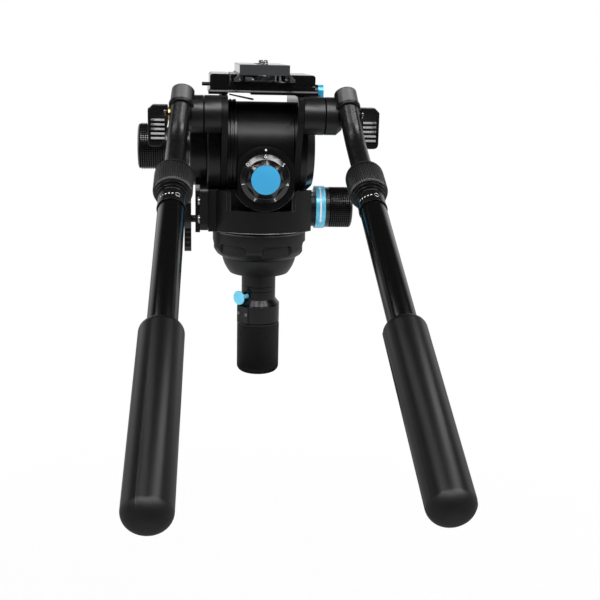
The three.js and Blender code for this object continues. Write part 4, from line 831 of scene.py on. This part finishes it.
# ---------- the rest: dressed copies ----------
def head():
    """Block, cheeks, discs, platform and quick plate, mostly as dressed copies."""
    for name, bevel, mat in (
            ("side_cover", 0.7, "satin"), ("plate_jaw", 0.4, "smooth"), ("left_disc", 0.5, "smooth"),
            ("tilt_drag_housing", 0.5, "smooth"), ("right_disc", 0.5, "smooth"),
            ("plate_lock_lever", 0.6, "blue"), ("safety_pin", 0.3, "plastic")):
        copied(name, bevel, mat)

    # the rim round the dial's boss gets the dark groove finish: painted shade that hides the highlight on its
    # bevel
    def boss_rim_shade(centre, normal):
        from_middle = Vector((centre.x - BLOCK_X, centre.z - BOSS_HEIGHT)).length
        return centre.z > 64 and centre.y < -50 and normal.y > -0.97 and 29 < from_middle < 31

    second_finish(copied("block_housing", 0.7, "block"), "groove", boss_rim_shade)
    shape = [(-69.8, 128), (-69.8, 149.6), (-67.8, 151.5), (-48, 151.5), (-48, 128)]
    corner = prism_mesh("corner", "x", shape, 29.7, 35.1)
    polish(carved("right_cheek", 0.7, "matte", adds=[corner]), "polished")
    polish(copied("left_cheek", 0.7, "matte"), "polished", "z")
    for name, bevel in (("platform_plate", 0.6), ("left_rail", 0.5), ("right_rail", 0.5)):
        polish(copied(name, bevel, "smooth"), "polished")
    shape = [(-41.5, 153.6), (-42.9, 153.6), (-42.9, 154.5), (-42.35, 155.75), (-41.5, 155.75)]
    place_piece(prism_mesh("platform_trim", "x", shape, -50.3, 50.3), "tilt_frame", "satin", angle=20)
    shape = [(-31.4, 152.2), (-31.4, 151.0), (-10.0, 146.6), (-8.6, 146.9), (-8.8, 148.1)]
    solid_piece(prism_mesh("platform_link", "y", shape, -31, -28), "tilt_frame", "matte", bevel=0.2)
    channel = box_mesh("channel", -23, 23, -120, 120, 150, 169.7)
    polish(copied("quick_plate", 0.5, "grey", tools=[channel]), "polished_grey")


def base():
    """Base housing with the stepped sides of its rear recess, its side screws and the pan lock lever."""
    arc_r, arc_middle, left, width, count = 62, 11.0, -43.4, 92.9, 62

    def rear(x):
        return arc_middle - sqrt(arc_r * arc_r - x * x)

    places = [left + width * k / count for k in range(count + 1)]
    behind = [(x, rear(x)) for x in places] + [(left + width, -60), (left, -60)]
    low, high = (v.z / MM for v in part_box("base_housing"))
    housing = copied("base_housing", 0.9, "paint", tools=[prism_mesh("cut", "z", behind, 15, 70)])
    steps = [prism_mesh("step", "z", [(a, rear(a)), (b, rear(b)), (b, -28), (a, -28)], 43, 62.1)
             for a, b in ((-34.5, -29.4), (27.4, 32.5))]
    weighted(boolean(housing, steps, "UNION"))
    # the up-facing faces and the top rear edge of the housing get the bright metal: painted highlights
    polish(housing, "edge", "z")
    second_finish(housing, "edge", lambda c, n: c.z > high - 1.2 and c.y < -30 and 0.2 < n.z < 0.9)
    # thin metal beads along the bottom edge and at the steps of the recess: painted highlight lines
    beads = [bead_mesh("highlight_lip", [Vector((x, rear(x), low + 0.55)) for x in places if -42.8 < x < 47.5], 0.5)]
    for x in (-33.6, -30.2, 28.2, 31.6):
        beads.append(bead_mesh("edge", [Vector((x, rear(x), z)) for z in (43.2, 52, 61.6)], 0.42))
    place_piece(join(beads, "base_edge_highlights"), "pan_base", "edge", angle=60)

    # a steel crescent round the lower rim of the boss: a painted highlight on its chamfer
    rows = [(50.9, 29.95), (50.9, 30.5), (51.4, 30.5), (52.05, 30.1), (52.05, 29.95), (50.9, 29.95)]
    edge = turned_mesh("boss_edge_highlight", axis_rear(BLOCK_X, BOSS_HEIGHT), rows, 128)
    boolean(edge, [box_mesh("low", -40, 40, -60, -45, 40, 62)], "INTERSECT")
    place_piece(edge, "pan_base", "steel")

    def hexagon(angle, station, radius):
        return radius * cos(pi / 6) / cos(angle % (pi / 3) - pi / 6) if 1.5 < radius < 2.4 else radius

    rows = [(59, 0), (59, 4), (60.0, 4), (60.5, 3.6), (60.8, 2.8), (60.8, 2.2), (59.6, 2.2), (59.4, 0)]
    for index, z in ((1, 52), (2, 34.8)):
        turned("side_screw_%d_skin" % index, Axis((0, -35, z), (-1, 0, 0), (0, 0, 1)), rows,
               "pan_base", "steel", ["side_screw_%d" % index], 48, hexagon)
    grooves = []
    for bottom, top in ((18.3, 20.8), (13.1, 16.1), (8.0, 10.7), (2.6, 5.7)):
        grooves += [box_mesh("groove", -76, -65, y, y + 4.3, bottom, top) for y in (-9, 4.7)]
    carved("pan_lock_lever", 0.7, "gloss", grooves)


def ring_flange():
    """The grooved ring between the left cheek and the block."""
    rows = [(-33.2, 9.45), (-33.2, 46), (-32.0, 46), (-31.7, 45.2), (-30.7, 45.2), (-30.4, 46), (-28.5, 46),
            (-28.2, 45.2), (-27.1, 45.2), (-26.8, 46), (-24.2, 46), (-24.2, 34), (-29.2, 34), (-29.2, 9.45),
            (-33.2, 9.45)]
    rows = soften(rows, [0, 0.4] + [0.15] * 8 + [0.4, 0, 0, 0], 2)
    turned("ring_flange_skin", axis_x(TILT_HEIGHT), rows, "pan_base", "smooth", ["ring_flange"], 144)


def drag_knob(name, ax, radius, start, end, rows, count, depths, before, after):
    """A knob whose grip is cut into small squares, between the profiles of its two ends."""
    profile = before + knurl_rows(start, end, radius, rows) + after
    ob = turned(name + "_knob_skin", ax, profile, name + "_knob", "knurl", [name + "_drag_knob"],
                teeth(count, GROOVED), knurl_wave(start, end, rows, count, *depths))
    # painted shade in the grooves of the knurl
    paint_groove_shade(ob, ax, start, end, radius - 0.2)


def knobs():
    """Tilt drag knob, and pan drag knob with its blue ring and arrow line."""
    drag_knob("tilt", axis_x(TILT_HEIGHT), 22, -115.4, -92.6, 11, 66, (1.1, 1.0),
              [(-116.6, 0), (-116.6, 14.2), (-117.5, 15.0), (-117.5, 18.9), (-116.9, 20.7), (-116.0, 21.7)],
              [(-91.9, 21.5), (-91.2, 20.8), (-91, 20.0), (-91, 18.5), (-68.7, 18.5), (-68.7, 5),
               (-59.7, 5), (-59.7, 0)])
    ax = axis_x(PAN_KNOB_HEIGHT)
    drag_knob("pan", ax, 20, 68.4, 88.6, 10, 60, (1.2, 0.8),
              [(48, 0), (48, 6), (64.1, 6), (64.1, 19.4), (64.5, 20), (65.1, 20), (65.4, 19.2),
               (66.1, 19.2), (66.4, 20), (66.9, 20), (67.2, 19.2), (67.8, 19.2), (68.1, 20)],
              [(89.4, 19.7), (90.2, 19.0), (90.6, 17.8), (90.6, 14.4), (89.9, 13.8), (89.9, 0)])
    ring_r, line_half, head_half = 21, 0.75, 1.9
    ring = [(54.1, 6.45), (54.1, ring_r), (63.8, ring_r), (63.8, 6.45), (54.1, 6.45)]
    # the ring's lighter blue is painted light
    turned("pan_ring_skin", ax, soften(ring, [0, 0.7, 0.7, 0], 4), "pan_knob", "ring_blue_painted_light",
           ["pan_drag_ring"], 128)
    rows = [(15, 0.02), (22, head_half), (22.01, line_half)]
    rows += [(22 + 98 * k / 24, line_half) for k in range(1, 25)] + [(120.01, head_half), (127, 0.02)]
    line = ring_strip("pan_ring_line", ax, ring_r, [(radians(a), 58.9, half) for a, half in rows])
    place_piece(line, "pan_knob", "white")


def dial():
    """Counterbalance dial: numbered cone, lobed knob, blue disc and the index dot on the block."""
    ax = axis_rear(BLOCK_X, DIAL_HEIGHT)
    ring = soften([(38, 0), (38, 5), (52.3, 5), (52.3, 23.3), (56.1, 23.3), (59.7, 18.4), (59.7, 0)],
                  [0, 0, 0, 0.3, 0.6, 0.35, 0], 4)
    turned("dial_ring_skin", ax, ring, "dial", "ring", ["dial_ring"], 144)

    def lobes(angle, station, radius):
        return radius + 1.15 * cos(7 * angle) * smooth_step(radius, 13.6, 17.0)

    knob = soften([(60, 0), (60, 17.1), (60.4, 17.1), (63.5, 13.8), (63.5, 0)], [0, 0.1, 0.1, 0.3, 0], 4)
    turned("dial_knob_skin", ax, knob, "dial", "gloss", ["dial_knob"], 168, lobes)
    disc = soften([(63.6, 0), (63.6, 13.5), (64.7, 13.5), (64.7, 0)], [0, 0.2, 0.35, 0], 3)
    turned("dial_disc_skin", ax, disc, "dial", "disc", ["dial_disc"], 96)
    clock = zip("6543210", (0, 51, 103, 154, 206, 257, 309))
    digits = [dial_digit(ax, digit, radians(-turn)) for digit, turn in clock]
    place_piece(join(digits, "dial_numbers"), "dial", "white", angle=0)
    spot = Axis((2.1, 0, 102.4), (0, -1, 0), (0, 0, 1))
    dot = [(51.9, 0), (51.9, 1.0), (52.12, 0.9), (52.15, 0)]
    turned("dial_index_dot", spot, dot, "pan_base", "white", steps=24)


def dial_digit(ax, digit, angle):
    """A raised number on the cone of the dial ring, its top outwards."""
    curve = bpy.data.curves.new("digit", "FONT")
    curve.body = digit
    curve.size = 5.5 * MM
    curve.extrude = 0.06 * MM
    curve.offset = -0.08 * MM
    curve.align_x, curve.align_y = "CENTER", "CENTER"
    source = added("digit", curve)
    graph = bpy.context.evaluated_depsgraph_get()
    me = bpy.data.meshes.new_from_object(source.evaluated_get(graph), depsgraph=graph)
    bpy.data.objects.remove(source)
    radial = ax.u * cos(angle) + ax.w * sin(angle)
    cone_out, cone_back = 4.9, 3.6
    slope = (radial * cone_out - ax.a * cone_back).normalized()
    normal = (radial * cone_back + ax.a * cone_out).normalized()
    place = Matrix((slope.cross(normal), slope, normal)).transposed().to_4x4()
    place.translation = (ax.at(57.75, 21.05, angle) + normal * 0.03) * MM
    me.transform(place)
    return bpy.data.objects.new("digit", me)


def plate_parts():
    """Camera screw with its thread, and what shows in the channel of the quick plate."""
    ax = axis_z(-30)
    rows = [(165, 0), (165, 8.5), (165.5, 9), (168.9, 9), (169.4, 8.5), (169.4, 4.76)]
    rows += [(170 + 0.2 * i, 4.76) for i in range(64)]
    rows += [(182.9, 4.2), (183.3, 3.7), (183.3, 0)]
    pitch = 1.5875

    def thread(angle, station, radius):
        if radius > 8.9:
            return radius - (0.25 if int(round(angle * 96 / (2 * pi))) % 2 else 0)
        if 170.5 < station < 182.8 and radius > 4:
            share = (station / pitch + angle / (2 * pi)) % 1
            return radius - 0.85 * abs(2 * share - 1)
        return radius

    screw = turned_mesh("camera_screw_skin", ax, rows, 96, thread)
    boolean(screw, [box_mesh("slot", -0.7, 0.7, -40, -20, 182.1, 184)])
    place_piece(screw, "screw", "steel", ["camera_screw"])
    rib = box_mesh("plate_rib", -19.2, 19.2, 49, 57, 163.9, 170.2)
    solid_piece(rib, "plate", "matte", bevel=0.4)
    for name, mat, *extent in (
            ("plate_stop", "bright", -17.2, -10.2, -36, -24, 164.2, 167.9),
            ("plate_guide_1", "bright", 10.4, 11.6, -40, 30, 164.0, 169.8),
            ("plate_guide_2", "bright", 14.4, 16.2, -40, 30, 164.0, 169.8),
            ("plate_guide_3", "matte", -19.4, -17.8, -48, 40, 164.0, 169.8),
            ("plate_guide_4", "matte", 17.2, 19.3, -48, 40, 164.0, 169.8)):
        solid_piece(box_mesh(name, *extent), "plate", mat, bevel=0.3)


def inner_parts():
    """The CAD nodes that no piece replaces lie inside: they keep their shape and get a finish."""
    steel = ("pan_spindle", "tie_down_stud", "pan_bearing", "tilt_axle", "tilt_drag_disc",
             "counterbalance_spring", "left_clamp_stud", "right_clamp_stud")
    brass = ("left_bush", "right_bush", "left_washer", "right_washer")
    for name, ob in frame["nodes"].items():
        if not ob.hide_render:
            for slot in ob.material_slots:
                slot.material = M["steel" if name in steel else "brass" if name in brass else "satin"]


half_ball()
tie_down()
head()
base()
ring_flange()
knobs()
dial()
plate_parts()
handle("left", -1)
handle("right", 1)
inner_parts()


# ---------- light and background ----------
def world():
    """White to the camera and through glass, grey as fill light, and to reflections dark but for a light
    band low behind the object."""
    studio = bpy.data.worlds.new("studio")
    bpy.context.scene.world = studio
    studio.use_nodes = True
    tree = studio.node_tree
    tree.nodes.clear()
    path = node(tree, "LightPath").outputs
    split = node(tree, "SeparateXYZ")
    tree.links.new(node(tree, "TexCoord").outputs["Generated"], split.inputs[0])
    behind = ranged(tree, split.outputs["Y"], -0.15, 0.45, 0.0, 1.0, smooth=True)
    low = ranged(tree, split.outputs["Z"], 0.25, 0.60, 1.0, 0.0, smooth=True)
    mirrored = node(tree, "Background")
    level = ranged(tree, joined(tree, "MULTIPLY", behind, low), 0.0, 1.0, 0.02, 1.0)
    tree.links.new(level, mirrored.inputs["Strength"])
    fill = node(tree, "Background", Color=WHITE, Strength=0.45)
    seen = node(tree, "Background", Color=WHITE)
    direct = joined(tree, "MAXIMUM", path["Is Camera Ray"], path["Is Transmission Ray"])
    shown = blended(tree, direct, blended(tree, path["Is Glossy Ray"], fill, mirrored), seen)
    tree.links.new(shown.outputs[0], node(tree, "OutputWorld").inputs["Surface"])


def lamp(name, place, aim, size, power):
    data = bpy.data.lights.new(name, "AREA")
    data.shape = "RECTANGLE"
    data.size, data.size_y = size
    data.energy = power
    ob = added(name, data)
    ob.location = place
    ob.rotation_mode = "QUATERNION"
    ob.rotation_quaternion = (Vector(aim) - Vector(place)).to_track_quat("-Z", "Y")


def lamps():
    """Soft lamps in front and at the sides, and two narrow ones over the handles."""
    for row in (
            ("front", (0.10, -1.31, 1.34), (0, -0.05, 0.10), (0.95, 0.46), 7.5),
            ("upper", (0.46, -0.73, 1.48), (0, -0.05, 0.12), (0.5, 0.5), 4.6),
            ("upper_left", (-0.28, -0.91, 1.40), (0, -0.05, 0.12), (0.45, 0.35), 4.0),
            ("right_side", (0.78, -0.67, 1.00), (0, -0.06, 0.08), (0.5, 0.6), 6.5),
            ("left_side", (-0.72, -0.70, 1.05), (0, -0.06, 0.08), (0.5, 0.6), 6.5),
            ("right_top", (0.76, -0.02, 1.24), (0.09, -0.40, -0.04), (0.14, 0.62), 2.8),
            ("left_top", (-0.61, 0.03, 1.33), (-0.09, -0.37, -0.02), (0.12, 0.9), 1.5)):
        lamp(*row)


def floor_glow(tree, spot, card_height):
    """How bright each place of the floor is in a reflection: a pool of light to both sides of the object
    that fades with distance, dark under the object and in front of it, and light again far behind."""
    stops = ((0.0, 0.48), (0.05, 0.50), (0.10, 0.46), (0.20, 0.24), (0.36, 0.12), (0.60, 0.05), (0.85, 0.02))
    reach = vector(tree, "LENGTH", vector(tree, "MULTIPLY", spot, (0.35, 1, 0)))
    ramp = node(tree, "ValToRGB")
    ends = ramp.color_ramp.elements
    ends[0].position, ends[1].position = stops[0][0], stops[-1][0]
    for position, value in stops[1:-1]:
        ramp.color_ramp.elements.new(position)
    for element, (position, value) in zip(ramp.color_ramp.elements, stops):
        element.color = (value, value, value, 1)
    tree.links.new(joined(tree, "MULTIPLY", reach, 1 / 2.5), ramp.inputs[0])
    below = vector(tree, "DISTANCE", spot, (0.004, -0.055, card_height))
    under = ranged(tree, below, 0.05, 0.11, 0.05, 1.0, smooth=True)
    apart = node(tree, "SeparateXYZ")
    tree.links.new(spot, apart.inputs[0])
    aside = ranged(tree, joined(tree, "ABSOLUTE", apart.outputs["X"]), 0.04, 0.25, 0.15, 1.0, smooth=True)
    onward = ranged(tree, apart.outputs["Y"], -0.62, -0.48, 0.0, 1.0, smooth=True)
    far = ranged(tree, apart.outputs["Y"], 0.25, 0.80, 0.0, 0.35, smooth=True)
    pool = joined(tree, "MULTIPLY", ramp.outputs[0], under)
    lit = joined(tree, "MULTIPLY", pool, joined(tree, "MAXIMUM", aside, onward))
    return joined(tree, "MAXIMUM", lit, far)


def ground():
    """A white floor, far enough down for the handles at their lowest, that keeps a faint shadow and fades
    into the background, and above it a card that only the object's reflections and bounce light see."""
    card_height = cad_box[0].z - 0.0005
    planes = []
    for name, height in (("reflector_card", card_height), ("floor", FLOOR_HEIGHT)):
        corners = [(x * FLOOR_HALF, y * FLOOR_HALF, height) for x, y in ((-1, -1), (1, -1), (1, 1), (-1, 1))]
        me = bpy.data.meshes.new(name)
        me.from_pydata(corners, [], [(0, 1, 2, 3)])
        planes.append(added(name, me))
    planes[0].visible_camera = planes[0].visible_shadow = False
    mat = bpy.data.materials.new("floor")
    mat.use_nodes = True
    tree = mat.node_tree
    shader = tree.nodes["Principled BSDF"]
    shader.inputs["Base Color"].default_value = (0.9, 0.9, 0.9, 1)
    shader.inputs["Roughness"].default_value = 0.9
    spot = node(tree, "TexCoord").outputs["Object"]
    mirrored = node(tree, "Emission")
    tree.links.new(floor_glow(tree, spot, card_height), mirrored.inputs["Strength"])
    path = node(tree, "LightPath").outputs
    faded = ranged(tree, vector(tree, "LENGTH", spot), 0.35, 1.1, 0.90, 1.0)
    share = joined(tree, "MULTIPLY", path["Is Camera Ray"], faded)
    plain = blended(tree, share, shader, node(tree, "Emission", Strength=1.0))
    last = blended(tree, path["Is Glossy Ray"], plain, mirrored)
    tree.links.new(last.outputs[0], tree.nodes["Material Output"].inputs["Surface"])
    for ob in planes:
        ob.data.materials.append(mat)


world()
lamps()
ground()
bpy.context.scene.view_settings.view_transform = "Standard"
